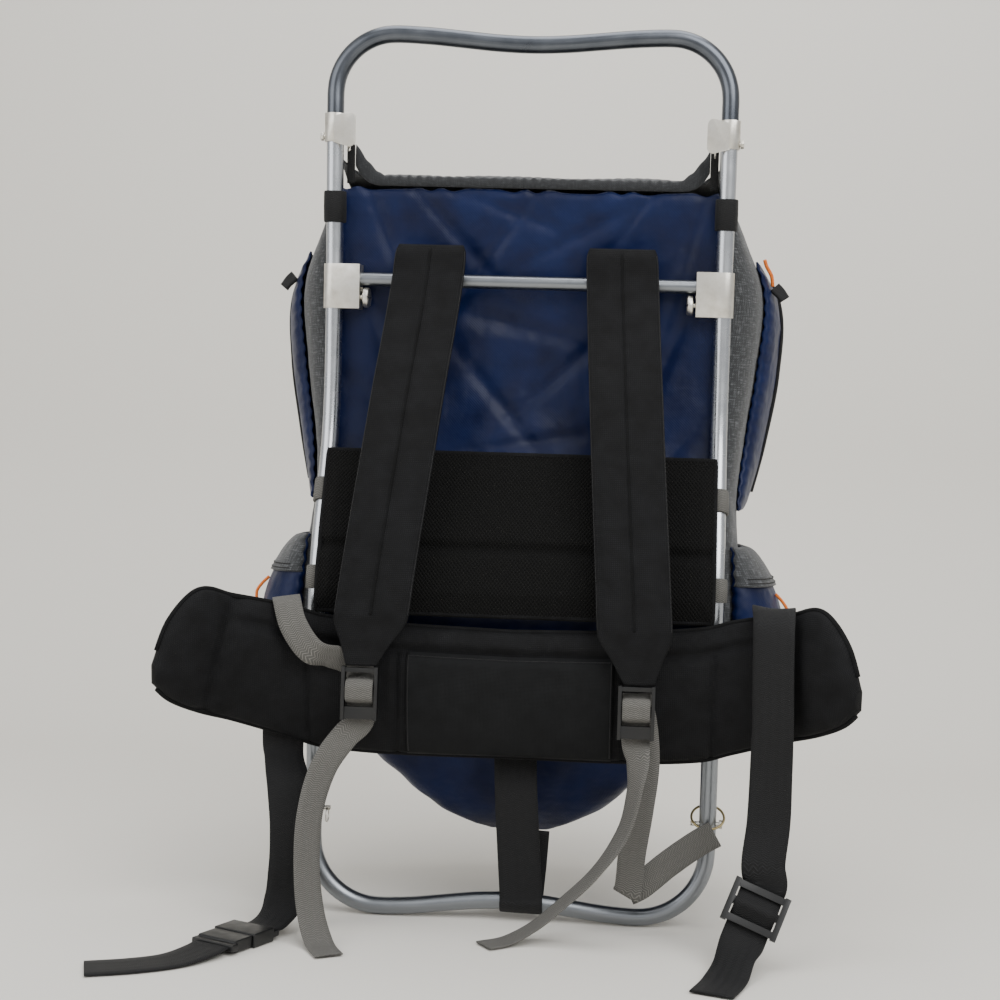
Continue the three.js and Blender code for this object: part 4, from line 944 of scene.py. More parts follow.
@dataclass(frozen=True)
class Bag:
    """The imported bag: its panels, gussets and lower compartment."""

    bottom: float = 62
    top: float = 690
    base_seam: float = 268
    width: float = 368
    side_bulge: float = 50
    depth: float = 215
    crown: float = 30
    tuck: float = 96
    cloth: float = 2
    fold: float = 5
    boxy: float = 0.7
    seam: float = 0.15
    dent_size: float = 70
    dent_depth: float = 1.6
    crease_size: float = 24
    hem: float = 12
    hem_dip: float = 1.6
    hem_roll: float = 3
    rows: tuple[BagRow, ...] = (
        BagRow(0, 0.13, 0.2, 1, 0.28, 0.1),
        BagRow(0.018, 0.24, 0.3, 0.8, 0.45, 0.3),
        BagRow(0.046, 0.36, 0.45, 0.58, 0.62, 0.5),
        BagRow(0.104, 0.53, 0.6, 0.32, 0.8, 0.75),
        BagRow(0.188, 0.76, 0.72, 0.08, 0.95, 0.95),
        BagRow(0.328, 0.98, 0.66, 0, 1, 1),
        BagRow(0.427, 1, 0.58, 0, 0.99, 0.95),
        BagRow(0.538, 1, 0.48, 0, 0.98, 0.95),
        BagRow(0.634, 1, 0.62, 0, 1, 1),
        BagRow(0.745, 1, 0.84, 0, 1, 1),
        BagRow(0.857, 1, 0.94, 0, 0.98, 0.9),
        BagRow(0.944, 1, 0.5, 0, 0.9, 0.7),
        BagRow(1, 1, 0.08, 0, 0.76, 0.4),
    )
    creases: tuple[Crease, ...] = (
        Crease(-0.55, 0.9, 0.5, -0.35, 1, 0.09),
        Crease(0.1, 0.84, 0.6, 0.2, 0.8, 0.09),
        Crease(0.62, 0.91, 0.4, 0.5, 1, 0.09),
        Crease(-0.25, 0.72, 0.45, 0.15, 0.7, 0.09),
        Crease(0.4, 0.64, 0.5, -0.25, 0.9, 0.09),
        Crease(-0.5, 0.6, 0.4, 0.6, 0.8, 0.09),
        Crease(-0.8, 0.96, 0.35, -1.0, 0.9, 0.03),
        Crease(-0.45, 0.95, 0.4, -0.55, 0.8, 0.028),
        Crease(-0.1, 0.965, 0.3, -0.2, 0.5, 0.02),
        Crease(0.3, 0.94, 0.35, 0.3, 0.7, 0.025),
        Crease(0.55, 0.965, 0.3, 0.7, 0.6, 0.02),
        Crease(0.85, 0.94, 0.35, 1.15, 0.9, 0.03),
        Crease(0.05, 0.79, 0.6, -0.12, 0.9, 0.03),
        Crease(0.2, 0.73, 0.4, 0.5, 0.8, 0.028),
        Crease(-0.15, 0.68, 0.35, -0.6, 0.8, 0.028),
        Crease(0.1, 0.62, 0.5, 0.1, 0.7, 0.024),
        Crease(0.75, 0.76, 0.4, 0.95, 0.9, 0.03),
        Crease(0.82, 0.62, 0.35, 0.6, 0.7, 0.028),
        Crease(-0.8, 0.78, 0.4, -0.9, 0.9, 0.03),
        Crease(-0.78, 0.66, 0.35, -0.5, 0.7, 0.028),
        Crease(-0.3, 0.86, 0.4, 0.7, 0.7, 0.026),
    )

    def size(self, z: float, column: str) -> float:
        """One of the bag's sizes at a height, as a share."""
        return read_named(self.rows, (z - self.bottom) / (self.top - self.bottom), column)

    def front_y(self, z: float) -> float:
        """Y of the bag's flat front at a height."""
        return SIZES.line(z) + SIZES.cloth_set + 1 + self.tuck * self.size(z, "tuck")

    def wrinkle(self, x: float, y: float, z: float, depth: float = 1.0) -> float:
        """Soft creases and dents that any part of the cloth has, outward."""
        broad = grain(x, y, z * 0.7, self.dent_size) * self.dent_depth
        fine = abs(grain(x * 1.2, y * 1.2, z * 0.8 + 400, self.crease_size))
        return depth * (broad - 1.1 * fine)

    def front(self, share: float, z: float) -> Vector:
        """Point of the front, from -1 on the left to 1 on the right."""
        up = (z - self.bottom) / (self.top - self.bottom)
        fade = (1 - share**2) ** 0.7 if abs(share) < 1 else 0.0
        fold = 0.0
        for crease in self.creases:
            x, rise = share - crease.across, (up - crease.up) * 2
            along = x * math.cos(crease.lean) + rise * math.sin(crease.lean)
            off = rise * math.cos(crease.lean) - x * math.sin(crease.lean)
            fold += self.fold * crease.depth * fade * bump(along, crease.length) * bump(off, crease.width)
        x = (self.width / 2 * self.size(z, "half") - self.seam) * share
        rough = self.wrinkle(x, 0, z, 0.9) * fade
        return Vector((x, self.front_y(z) + fold - rough, z))

    def side(self, side: Side, share: float, z: float) -> Vector:
        """Point of a side, from 0 at the front seam to 1 at the outer one."""
        turn = math.cos(math.pi * share)
        back = self.depth * self.size(z, "depth") / 2 * (1 - math.copysign(abs(turn) ** self.boxy, turn))
        out = self.side_bulge * self.size(z, "side") * abs(math.sin(math.pi * share)) ** self.boxy
        x = self.width / 2 * self.size(z, "half") + self.seam + out
        return Vector((side.value * x, self.front_y(z) + back, z))

    def outer(self, share: float, z: float) -> Vector:
        """Point of the face that is turned away from the wearer."""
        crown = self.crown * self.size(z, "crown") * max(math.cos(math.pi / 2 * share), 0) ** self.boxy
        x = (self.width / 2 * self.size(z, "half") - self.seam) * share
        return Vector((x, self.front_y(z) + self.depth * self.size(z, "depth") + crown, z))

    def out(self, surface: Surface, share: float, z: float, low: float, high: float) -> Vector:
        """Level direction out of the bag from a place of one of its faces."""
        across = surface(min(share + 0.01, high), z) - surface(max(share - 0.01, low), z)
        level = Vector((across.y, -across.x, 0)).normalized()
        core = Vector((0, self.front_y(z) + self.depth * self.size(z, "depth") / 2, z))
        return -level if level.dot(surface(share, z) - core) < 0 else level

    def skin(self, surface: Surface, shares: list[float], levels: list[float], depth: float) -> list[Points]:
        """Rows of points of a face with its creases.

        Args:
            surface: The face.
            shares: Places across it.
            levels: Heights.
            depth: How deep its creases are.

        Returns:
            The rows, from the lowest level.
        """
        rows = []
        low, high = shares[0], shares[-1]
        for z in levels:
            row = []
            for share in shares:
                point = surface(share, z)
                edge = min(share - low, high - share, (z - levels[0]) / 150, (levels[-1] - z) / 150) * 8
                rough = self.wrinkle(point.x, point.y, z, depth) * ease(edge)
                row.append(point + self.out(surface, share, z, low, high) * rough)
            rows.append(row)
        return rows

    def build(self, bench: Bench) -> None:
        """Makes the panels, the gussets and the lower compartment."""
        rows = []
        for z in steps(140, self.base_seam + self.seam, self.top):
            roll = max(0.0, (z - self.top + self.hem) / self.hem)
            row = []
            for share in steps(120, -1, 1):
                dip = roll * self.hem_dip * (1 + math.sin(31 * share + 2 * math.sin(13 * share)))
                row.append(self.front(share, z) + Vector((0, self.hem_roll * roll**2, -dip)))
            rows.append(row)
        piece = bench.cloth("back_panel_creased", rows, self.cloth, Vector((0, -1, 0)))
        bench.hang(piece, BLUE, "blue_cloth", ["bag_back_panel"])
        heights = steps(90, self.base_seam + self.seam, self.top)
        rows = self.skin(self.outer, steps(80, -1, 1), heights, 1.5)
        piece = bench.cloth("outer_panel_creased", rows, self.cloth, Vector((0, 1, 0)))
        bench.hang(piece, BLUE, "blue_cloth", ["bag_outer_panel"])
        for side in Side:
            rows = self.skin(partial(self.side, side), steps(70), heights, 1.2)
            piece = bench.cloth(f"gusset_creased_{side.word}", rows, self.cloth, Vector((side.value, 0, 0)))
            bench.hang(piece, GREY, "grey_cloth", [f"side_gusset_{side.word}"])
        self.build_base(bench)

    def ring(self, z: float, shrink: float) -> Points:
        """Outline of the lower compartment at a height, drawn in by so much."""
        points = [self.front(s, z) for s in steps(48, -1, 1)[:-1]]
        points += [self.side(Side.RIGHT, s, z) for s in steps(30)[:-1]]
        points += [self.outer(s, z) for s in steps(48, 1, -1)[:-1]]
        points += [self.side(Side.LEFT, s, z) for s in steps(30, 1, 0)[:-1]]
        core = Vector((0, self.front_y(z) + self.depth * self.size(z, "depth") / 2, z))
        deep = 1.6 * ease((self.base_seam - z) / 30)
        ring = []
        for p in points:
            inward = Vector((core.x - p.x, core.y - p.y, 0)).normalized()
            pucker = 1.2 * math.sin(p.x * 0.16 + p.y * 0.1) * bump(z - self.bottom - 60, 45)
            rough = self.wrinkle(p.x, p.y, z, deep) + pucker
            ring.append(p + inward * (shrink - min(rough, 2.5)))
        return ring

    def build_base(self, bench: Bench) -> None:
        """Makes the lower compartment, a cup of cloth."""
        top = self.base_seam - self.seam
        levels = [self.bottom + (top - self.bottom) * s**1.5 for s in steps(44)]
        outer = [self.ring(z, 0) for z in levels]
        inner = [self.ring(z, self.cloth) for z in levels[6:]]
        floor = self.ring(levels[6], self.cloth * 2)
        piece = bench.grid("compartment_creased", outer + inner[::-1] + [floor], closed=True, capped=True)
        bench.hang(piece, BLUE, "blue_cloth", ["base_compartment"])


# Webbing


# Lower half of webbing's outline with its rounded edges, in shares of its width and its thickness
WEBBING_HALF = [
    (-0.5, -0.1),
    (-0.485, -0.42),
    (-0.3, -0.5),
    (0, -0.5),
    (0.3, -0.5),
    (0.485, -0.42),
    (0.5, -0.1),
]


class Turn(NamedTuple):
    """A place that webbing passes, and the direction of its width there."""

    at: tuple[float, float, float]
    edge: tuple[float, float, float]


def ribbon(
    bench: Bench, name: str, turns: Sequence[Turn], width: float, thickness: float, spacing: float = 2.5
) -> Piece:
    """Makes flat webbing with rounded edges along a row of places.

    Args:
        bench: Where pieces are made.
        name: The piece's name.
        turns: Places that it passes.
        width: Its width.
        thickness: Its thickness.
        spacing: Distance between its rows of points.

    Returns:
        The new object.
    """
    points = [Vector(turn.at) for turn in turns]
    last = len(turns) - 1
    length = sum((b - a).length for a, b in zip(points, points[1:]))
    profile = WEBBING_HALF + [(-x, -y) for x, y in WEBBING_HALF]
    rows = []
    for t in steps(max(int(length / spacing), 6 * last)):
        i = min(int(t * last), last - 1)
        edge = Vector(turns[i].edge).lerp(Vector(turns[i + 1].edge), ease(t * last - i))
        at = route_point(points, t)
        along = (route_point(points, min(t + 0.002, 1)) - route_point(points, max(t - 0.002, 0))).normalized()
        edge = (edge - along * edge.dot(along)).normalized()
        face = along.cross(edge)
        rows.append([at + edge * (x * width) + face * (y * thickness) for x, y in profile])
    return bench.grid(name, rows, closed=True, capped=True)


# Lid


@dataclass(frozen=True)
class Lid:
    """The bag's lid, with its gathered rim and the tabs that pull the rim's corners up."""

    bag: Bag
    rim_half: float = 169
    rim_height: float = 10
    rim_thickness: float = 3
    gather: float = 2.4
    pleats: int = 17
    corner_rise: float = 30
    corner_from: float = 0.82
    crown: float = 17
    skirt: float = 46
    skirt_from: float = 0.7
    lift: float = 2.3
    back_gap: float = 0.8
    tab_width: float = 7.6
    tab_gap: float = 4.1
    tab_lean: float = 0.12
    tab_foot: float = 2
    tab_heights: tuple[float, ...] = (0, 12, 24, 36)

    @property
    def front(self) -> float:
        """Y of the bag's front at its top."""
        return self.bag.front_y(self.bag.top)

    def corner(self, share: float) -> float:
        """How far towards a pulled-up corner of the rim a place is."""
        return max(0.0, (abs(share) - self.corner_from) / (1 - self.corner_from)) ** 1.6

    def rim_ring(self, share: float) -> Points:
        """Outline of the rim's cloth at a place across."""
        top = self.bag.top
        pleat = math.sin(2 * math.pi * self.pleats * share + 1.4 * math.sin(9 * share))
        pleat += 0.4 * math.sin(97 * share)
        rise = self.rim_height + self.corner_rise * self.corner(share) + 0.8 * pleat
        low = top + SIZES.slack + 0.6 * self.corner_rise * self.corner(share) ** 2
        ring = []
        for turn in steps(24, 0, 2 * math.pi)[:-1]:
            swell = 1 + 0.28 * pleat * (0.4 + 0.6 * abs(math.sin(turn)))
            y = self.front + self.rim_thickness / 2 + 2.5 * swell * math.cos(turn)
            z = (low + top + rise) / 2 + (top + rise - low) / 2 * math.sin(turn)
            ring.append(Vector((self.rim_half * share, y, z)))
        return ring

    def point(self, s: float, t: float) -> Vector:
        """Point of the lid's skin, by its shares across and back."""
        bag, top = self.bag, self.bag.top
        rough = bag.wrinkle(s * 180, t * 300, 900, 1.0) * ease((1 - abs(s)) * 6)
        rough += 1.2 * abs(math.sin(60 * s)) * bump(t, 0.12)
        if t > self.skirt_from:
            z = top - self.skirt * (t - self.skirt_from) / (1 - self.skirt_from)
            edge = bag.outer(s, z)
            return Vector((edge.x, edge.y + self.lift + self.back_gap, z))
        front = self.front + self.rim_thickness + self.gather
        back = bag.outer(s, top).y + self.back_gap + self.lift
        part = t / self.skirt_from
        dome = self.crown * max(math.sin(math.pi * part**0.8), 0) ** 0.8 * max(1 - s**6, 0) ** 0.5
        raised = (self.corner_rise - 4) * self.corner(s * 0.97) * (1 - part) ** 5
        raised += (self.rim_height - 5) * (1 - part) ** 3
        z = top + SIZES.slack + self.lift + dome + raised + min(rough, 2) * (1 - part)
        return Vector(((bag.width / 2 - bag.seam) * s, front + (back - front) * part, z))

    def build(self, bench: Bench) -> None:
        """Makes the rim, the lid and the tabs."""
        rows = [self.rim_ring(share) for share in steps(420, -1, 1)]
        piece = bench.grid("rim_gathered", rows, closed=True, capped=True)
        bench.hang(piece, RIM, "grey_cloth", ["lid_rim"])
        rows = [[self.point(s, t) for s in steps(110, -1, 1)] for t in steps(90)]
        piece = bench.cloth("lid_creased", rows, self.bag.cloth, Vector((0, 0.5, 1)))
        bench.hang(piece, GREY, "grey_cloth", ["lid"])
        for side in Side:
            x, y = side.value * (self.rim_half + self.tab_gap), self.front + self.rim_thickness / 2
            turns = [
                Turn((x, y - rise * self.tab_lean, self.bag.top + self.tab_foot + rise), (1, 0, 0))
                for rise in self.tab_heights
            ]
            piece = ribbon(bench, f"corner_tab_woven_{side.word}", turns, self.tab_width, SIZES.webbing)
            bench.hang(piece, BLACK_STRAP, "black_webbing", [f"corner_tab_{side.word}"])


# Side pockets


class Pouch(NamedTuple):
    """Heights, bulge and reach round the side of one pocket."""

    low: float
    high: float
    bulge: float
    start: float
    end: float


@dataclass(frozen=True)
class Pockets:
    """The upper pockets with their zips and the lower ones with their flaps."""

    bag: Bag
    gap: float = 0.8
    cloth: float = 2
    flap_drop: float = 36
    upper: Pouch = Pouch(390, 632, 22, 0.3, 0.9)
    lower: Pouch = Pouch(200, 356, 38, 0.12, 0.84)
    zip_share: float = 0.46
    zip_low: float = 410
    zip_high: float = 618
    teeth_radius: float = 1.8
    stitch_radius: float = 0.5
    pull_share: float = 0.36
    pull_width: float = 14
    pull_thickness: float = 3
    pull_drop: float = 22
    pull_step: float = 6
    pull_outs: tuple[float, ...] = (2.9, 7, 10)
    cord_radius: float = 1.5
    cord_drop: float = 8
    cord_step: float = 7
    cord_outs: tuple[float, ...] = (0.6, 5, 7.5, 6.5, 5.5)
    tip_radius: float = 1.8
    # share round the side, height and distance out of the cord on the right zip pull
    tip_way: tuple[tuple[float, float, float], ...] = (
        (0.36, 611, 1.6),
        (0.35, 620, 5),
        (0.33, 629, 6),
        (0.32, 634, 8),
    )

    def bulge(self, pouch: Pouch, share: float, z: float) -> float:
        """How far a pocket stands out from the bag's side."""
        across = math.sin(math.pi * (share - pouch.start) / (pouch.end - pouch.start))
        up = (z - pouch.low) / (pouch.high - pouch.low)
        if up <= 0 or up >= 1:
            return 0.0
        return pouch.bulge * max(across, 0) ** 0.55 * math.sin(math.pi * up**0.85) ** 0.5

    def on(self, side: Side, pouch: Pouch, share: float, z: float, lift: float) -> Vector:
        """Place on a pocket's skin, raised by so much."""
        surface = partial(self.bag.side, side)
        out = self.bag.out(surface, share, z, pouch.start, pouch.end)
        return surface(share, z) + out * (lift + self.bulge(pouch, share, z))

    def skin(self, bench: Bench, name: str, side: Side, pouch: Pouch, low: float, lift: float) -> Piece:
        """Makes a pocket's or a flap's cloth, up to the pocket's top.

        Args:
            bench: Where pieces are made.
            name: The piece's name, without its side.
            side: The pack's side.
            pouch: The pocket.
            low: The cloth's lowest height.
            lift: How far its outer skin lies off the bag.

        Returns:
            The new object.
        """
        rows = []
        high = pouch.high
        for z in steps(int((high - low) / 2), low, high):
            row = []
            for share in steps(70, pouch.start, pouch.end):
                point = self.on(side, pouch, share, z, lift)
                inside = min(share - pouch.start, pouch.end - share)
                edge = min(inside, (z - low) / 200, (high - z) / 200) * 14
                gather = 0.9 * math.sin(0.5 * z + 20 * share) * bump(inside, 0.05)
                rough = self.bag.wrinkle(point.x, point.y, z, 1.3) * ease(edge) + gather
                row.append(point + Vector((side.value * max(min(rough, 2), -2.4), 0, 0)))
            rows.append(row)
        return bench.cloth(f"{name}_{side.word}", rows, self.cloth, Vector((side.value, 0, 0)))

    def build(self, bench: Bench) -> None:
        """Makes both sides' pockets, flaps, zips, pulls and cords."""
        top = self.cloth + self.gap
        for side in Side:
            self.build_cloth(bench, side, top)
            self.build_trim(bench, side, top)
        tip = [self.on(Side.RIGHT, self.upper, share, z, top + out) for share, z, out in self.tip_way]
        bench.rod("zip_cord_tip", dense(tip, 1), self.tip_radius, 12, ORANGE, "orange_cord")

    def build_cloth(self, bench: Bench, side: Side, top: float) -> None:
        """Makes one side's pockets, and the flap with its stitches.

        Args:
            bench: Where pieces are made.
            side: The pack's side.
            top: How far a pocket's outer skin lies off the bag.
        """
        low = self.lower.high - self.flap_drop
        over = 2 * top
        for name, pouch, start, lift, finish, slot, node in (
            ("upper_pocket_creased", self.upper, self.upper.low, top, BLUE, "blue_cloth", "upper_pocket"),
            ("lower_pocket_creased", self.lower, self.lower.low, top, BLUE, "blue_cloth", "lower_pocket"),
            ("flap_creased", self.lower, low, over, GREY, "grey_cloth", "pocket_flap"),
        ):
            piece = self.skin(bench, name, side, pouch, start, lift)
            bench.hang(piece, finish, slot, [f"{node}_{side.word}"])
        for number, rise in enumerate((3, 7)):
            points = [self.on(side, self.lower, s, low + rise, over + 0.1) for s in steps(60, 0.16, 0.8)]
            name = f"flap_stitches_{number}_{side.word}"
            bench.rod(name, points, self.stitch_radius, 8, THREAD, "black_webbing")

    def build_trim(self, bench: Bench, side: Side, top: float) -> None:
        """Makes one side's zip, its pull, and the cord of the lower pocket.

        Args:
            bench: Where pieces are made.
            side: The pack's side.
            top: How far a pocket's outer skin lies off the bag.
        """
        word = side.word
        heights = steps(110, self.zip_low, self.zip_high)
        points = [self.on(side, self.upper, self.zip_share, z, top + 0.4) for z in heights]
        bench.rod(f"zip_teeth_{word}", points, self.teeth_radius, 8, THREAD, "black_webbing")
        pull = []
        for i, out in enumerate(self.pull_outs):
            z = self.upper.high - self.pull_drop - self.pull_step * i
            at = self.on(side, self.upper, self.pull_share, z, top + out)
            pull.append(Turn(tuple(at), (0, 0.5, 1)))
        piece = ribbon(bench, f"zip_pull_woven_{word}", pull, self.pull_width, self.pull_thickness, 1.5)
        bench.hang(piece, BLACK_STRAP, "black_webbing", [f"zip_pull_{word}"])
        cord = []
        for i, out in enumerate(self.cord_outs):
            z = self.lower.high - self.flap_drop - self.cord_drop - self.cord_step * i
            cord.append(self.on(side, self.lower, self.pull_share, z, top + out))
        name, nodes = f"pull_cord_braided_{word}", [f"pull_cord_{word}"]
        bench.rod(name, dense(cord, 1), self.cord_radius, 12, ORANGE, "orange_cord", nodes)


# Harness


class BeltRow(NamedTuple):
    """Shares of the belt's half length, sweep, height and thickness from its middle to its tip."""

    along: float
    out: float
    sweep: float
    low: float
    high: float
    thick: float


class PadRow(NamedTuple):
    """Place down a shoulder pad, with its drift and reach there and its size as shares."""

    down: float
    drift: float
    reach: float
    width: float
    thick: float


class Hanging(NamedTuple):
    """Where one side's pad and ladder lock hang."""

    side: Side
    top_x: float
    bottom_x: float
    lock_x: float
    lock_z: float


@dataclass(frozen=True)
class Harness:
    """The back band, the hip belt with its patch, and the shoulder pads."""

    band_low: float = 286
    band_high: float = 437
    band_width: float = 366
    band_thickness: float = 9
    band_channel: float = 0.41
    belt_low: float = 157
    belt_height: float = 115
    belt_half: float = 308
    belt_thickness: float = 23
    belt_sweep: float = 88
    belt_groove: float = 0.82
    groove_depth: float = 0.22
    belt_seams: tuple[float, float] = (0.34, 0.56)
    seam_depth: float = 0.14
    tip_creases: tuple[float, float] = (-0.86, 0.8)
    patch_width: float = 190
    patch_height: float = 94
    pad_width: float = 68
    pad_thickness: float = 13
    pad_top: float = 632
    pad_reach: float = 66
    lock_height: float = 48
    loop_half: float = 24
    tail_from: float = 0.88
    binding_radius: float = 2.6
    gap: float = 0.8
    belt: tuple[BeltRow, ...] = (
        BeltRow(0, 0, 0, 0, 1, 1),
        BeltRow(0.37, 0.37, 0, 0, 1.03, 1),
        BeltRow(0.53, 0.57, 0.04, 0.04, 1.08, 1),
        BeltRow(0.62, 0.66, 0.13, 0.12, 1.15, 1),
        BeltRow(0.77, 0.815, 0.4, 0.27, 1.235, 1),
        BeltRow(0.88, 0.9, 0.68, 0.36, 1.28, 0.95),
        BeltRow(0.95, 0.965, 0.88, 0.46, 1.05, 0.8),
        BeltRow(1, 1, 1, 0.58, 0.72, 0.5),
    )
    pad: tuple[PadRow, ...] = (
        PadRow(0, 0, 0, 0.9, 0.5),
        PadRow(0.02, 0.01, 0.01, 0.98, 0.9),
        PadRow(0.08, 0.06, 0.02, 1, 1),
        PadRow(0.2, 0.18, 0.2, 1, 1),
        PadRow(0.34, 0.34, 0.44, 1, 1),
        PadRow(0.5, 0.52, 0.64, 1, 1),
        PadRow(0.65, 0.7, 0.8, 1, 1),
        PadRow(0.8, 0.88, 0.93, 1, 1),
        PadRow(0.88, 0.97, 0.98, 1, 0.95),
        PadRow(0.9, 1, 1, 0.97, 0.6),
        PadRow(0.95, 1.1, 1, 0.66, 0.3),
        PadRow(1, 1.2, 1, 0.4, 0.22),
    )
    hangings: tuple[Hanging, ...] = (
        Hanging(Side.LEFT, 91, 126, 133, 216),
        Hanging(Side.RIGHT, 89, 113, 116, 208),
    )

    @property
    def set_off(self) -> float:
        """How far the harness lies in front of the tubes' centre line."""
        return SIZES.cloth_set + 0.6

    @property
    def pad_y(self) -> float:
        """Y of the pads' tops."""
        loop = SIZES.crossbar / 2 + 2 * SIZES.slack + SIZES.webbing
        return SIZES.line(SIZES.crossbar_height) - loop - self.pad_thickness / 2 + 0.6

    @property
    def lock_y(self) -> float:
        """Y of the ladder locks."""
        return self.pad_y - self.pad_reach

    def band_point(self, s: float, up: float, front: bool) -> Vector:
        """Point of the band's front or back."""
        z = self.band_low + (self.band_high - self.band_low) * up
        back = SIZES.line(z) - self.set_off
        rise = min(1, 0.45 + 4 * min(up, 1 - up), 0.5 + 8 * (1 - abs(s)))
        off = up - self.band_channel
        channel = 0.5 * bump(off, 0.035)
        quilt = 0.06 * math.sin(s * 14) * bump(off, 0.1) + 0.05 * grain(s * 183, 0, z, 30)
        deep = self.band_thickness * (rise - channel + quilt) if front else 0
        return Vector((self.band_width / 2 * s, back - deep, z))

    def belt_point(self, along: float, up: float, front: bool, crease: float = 0.0) -> Vector:
        """Point of the belt's front or back.

        Args:
            along: From -1 at the left tip to 1 at the right one.
            up: From 0 at its lower edge to 1 at the upper.
            front: Whether it is the wearer's face.
            crease: How deep its creases are.

        Returns:
            The point.
        """
        at = abs(along)
        read = partial(read_named, self.belt, at)
        low = self.belt_low + self.belt_height * read("low")
        z = low + (self.belt_low + self.belt_height * read("high") - low) * up
        sweep = self.belt_sweep * read("sweep")
        back = SIZES.line(z) - self.set_off - sweep
        crown = 0.35 + 0.65 * max(math.sin(math.pi * min(max(up, 0), 1)), 0) ** 0.5
        groove = self.groove_depth * bump(up - self.belt_groove, 0.045) * (1 - ease((at - 0.7) / 0.1))
        seams = bump(at - self.belt_seams[0], 0.008) + bump(at - self.belt_seams[1], 0.007)
        seams *= self.seam_depth if up < self.belt_groove - 0.02 else 0
        left, right = self.tip_creases
        wing = 0.2 * bump(along - left - 0.1 * up, 0.02) if along < 0 else 0.08 * bump(along - right, 0.03)
        dents = 0.05 * grain(along * 300, 5, z, 34) + 0.03 * abs(grain(along * 300, 9, z, 12))
        rough = crease * (dents + wing + seams)
        depth = self.belt_thickness * read("thick") * (crown - groove - rough)
        lean = min(1, at**4 * 1.2) if sweep > 0 else 0
        inward = depth * lean * 0.6 * math.copysign(1, along) if front else 0
        x = math.copysign(1, along) * self.belt_half * read("out")
        return Vector((x - inward, back - (depth * (1 - 0.3 * lean) if front else 0), z))

    def rings(
        self, point: Callable[..., Vector], places: list[float], ups: list[float], *more: float
    ) -> list[Points]:
        """Rings of points round a slab: up its front, and down its back with an eighth of the points.

        Args:
            point: Gives a place on it from a share along, a share up and whether it is the front.
            places: Shares along.
            ups: Shares up.
            *more: What else the front's places take.

        Returns:
            One ring for each place.
        """
        return [
            [point(place, up, True, *more) for up in ups] + [point(place, up, False) for up in ups[::-8]]
            for place in places
        ]

    def padded(
        self, bench: Bench, name: str, rows: list[Points], finish: Finish, slot: str, node: str
    ) -> None:
        """Makes one padded piece from rings of points."""
        piece = bench.grid(name, rows, closed=True, capped=True)
        bench.hang(piece, finish, slot, [node])

    def build(self, bench: Bench) -> None:
        """Makes the band, the belt, its patch, the pads and the ladder locks."""
        rows = self.rings(self.band_point, steps(150, -1, 1), steps(64))
        self.padded(bench, "band_mesh", rows, MESH, "black_mesh", "back_band")
        self.binding(bench)
        rows = self.rings(self.belt_point, steps(300, -1, 1), steps(56), 1)
        self.padded(bench, "belt_padded", rows, PAD, "black_cloth", "hip_belt")
        self.build_patch(bench)
        for hanging in self.hangings:
            self.build_pad(bench, hanging)

    def patch_point(self, along: float, up: float) -> Vector:
        """Point of the patch's outer skin, by the belt's shares."""
        out = self.gap + SIZES.webbing + 0.4 * grain(along * 300, 0, up * 90, 26)
        return self.belt_point(along, up, True) - Vector((0, out, 0))

    def build_patch(self, bench: Bench) -> None:
        """Makes the patch on the belt, and the stitches inside its edge."""
        half = self.patch_width / 2 / self.belt_half
        top = self.patch_height / self.belt_height
        rows = [[self.patch_point(a, u) for a in steps(90, -half, half)] for u in steps(50, 0, top)]
        piece = bench.cloth("patch_smooth", rows, SIZES.webbing, Vector((0, -1, 0)))
        bench.hang(piece, PATCH, "black_cloth", ["lumbar_patch"])
        lift = Vector((0, -self.gap - SIZES.webbing - 0.15, 0))
        inset = 0.985 * half
        low, high = 0.03, top - 0.03
        border = [(-inset, u) for u in steps(50, low, high)] + [(a, high) for a in steps(90, -inset, inset)]
        border += [(inset, u) for u in steps(50, high, low)]
        line = [self.belt_point(a, u, True) + lift for a, u in border]
        bench.rod("patch_stitches", line, 0.55, 6, THREAD, "black_cloth")

    def binding(self, bench: Bench) -> None:
        """Makes the tape bound round the band's edge and the seams of belt and band."""
        rim = [(-1, u) for u in steps(30)] + [(s, 1) for s in steps(60, -1, 1)][1:]
        rim += [(1, u) for u in steps(30, 1, 0)][1:] + [(s, 0) for s in steps(60, 1, -1)][1:-1]
        points = []
        for s, u in rim:
            front = self.band_point(s * 0.992, min(max(u, 0.015), 0.985), True)
            middle = (front + self.band_point(s, u, False)) / 2
            points.append(middle + Vector((0, 0.25 * grain(s * 180, u * 150, 3, 9), 0)))
        bench.rod("band_binding", points, self.binding_radius, 12, BINDING, "black_cloth", looped=True)
        for name, u in (("high", 1.0), ("low", 0.0)):
            line = [
                (self.belt_point(a, u, True) + self.belt_point(a, u, False)) / 2
                for a in steps(240, -0.985, 0.985)
            ]
            lift = Vector((0, 0, 0.6 if u else -0.6))
            tape = [p + lift for p in line]
            bench.rod(f"belt_binding_{name}", tape, self.binding_radius, 12, BINDING, "black_cloth")

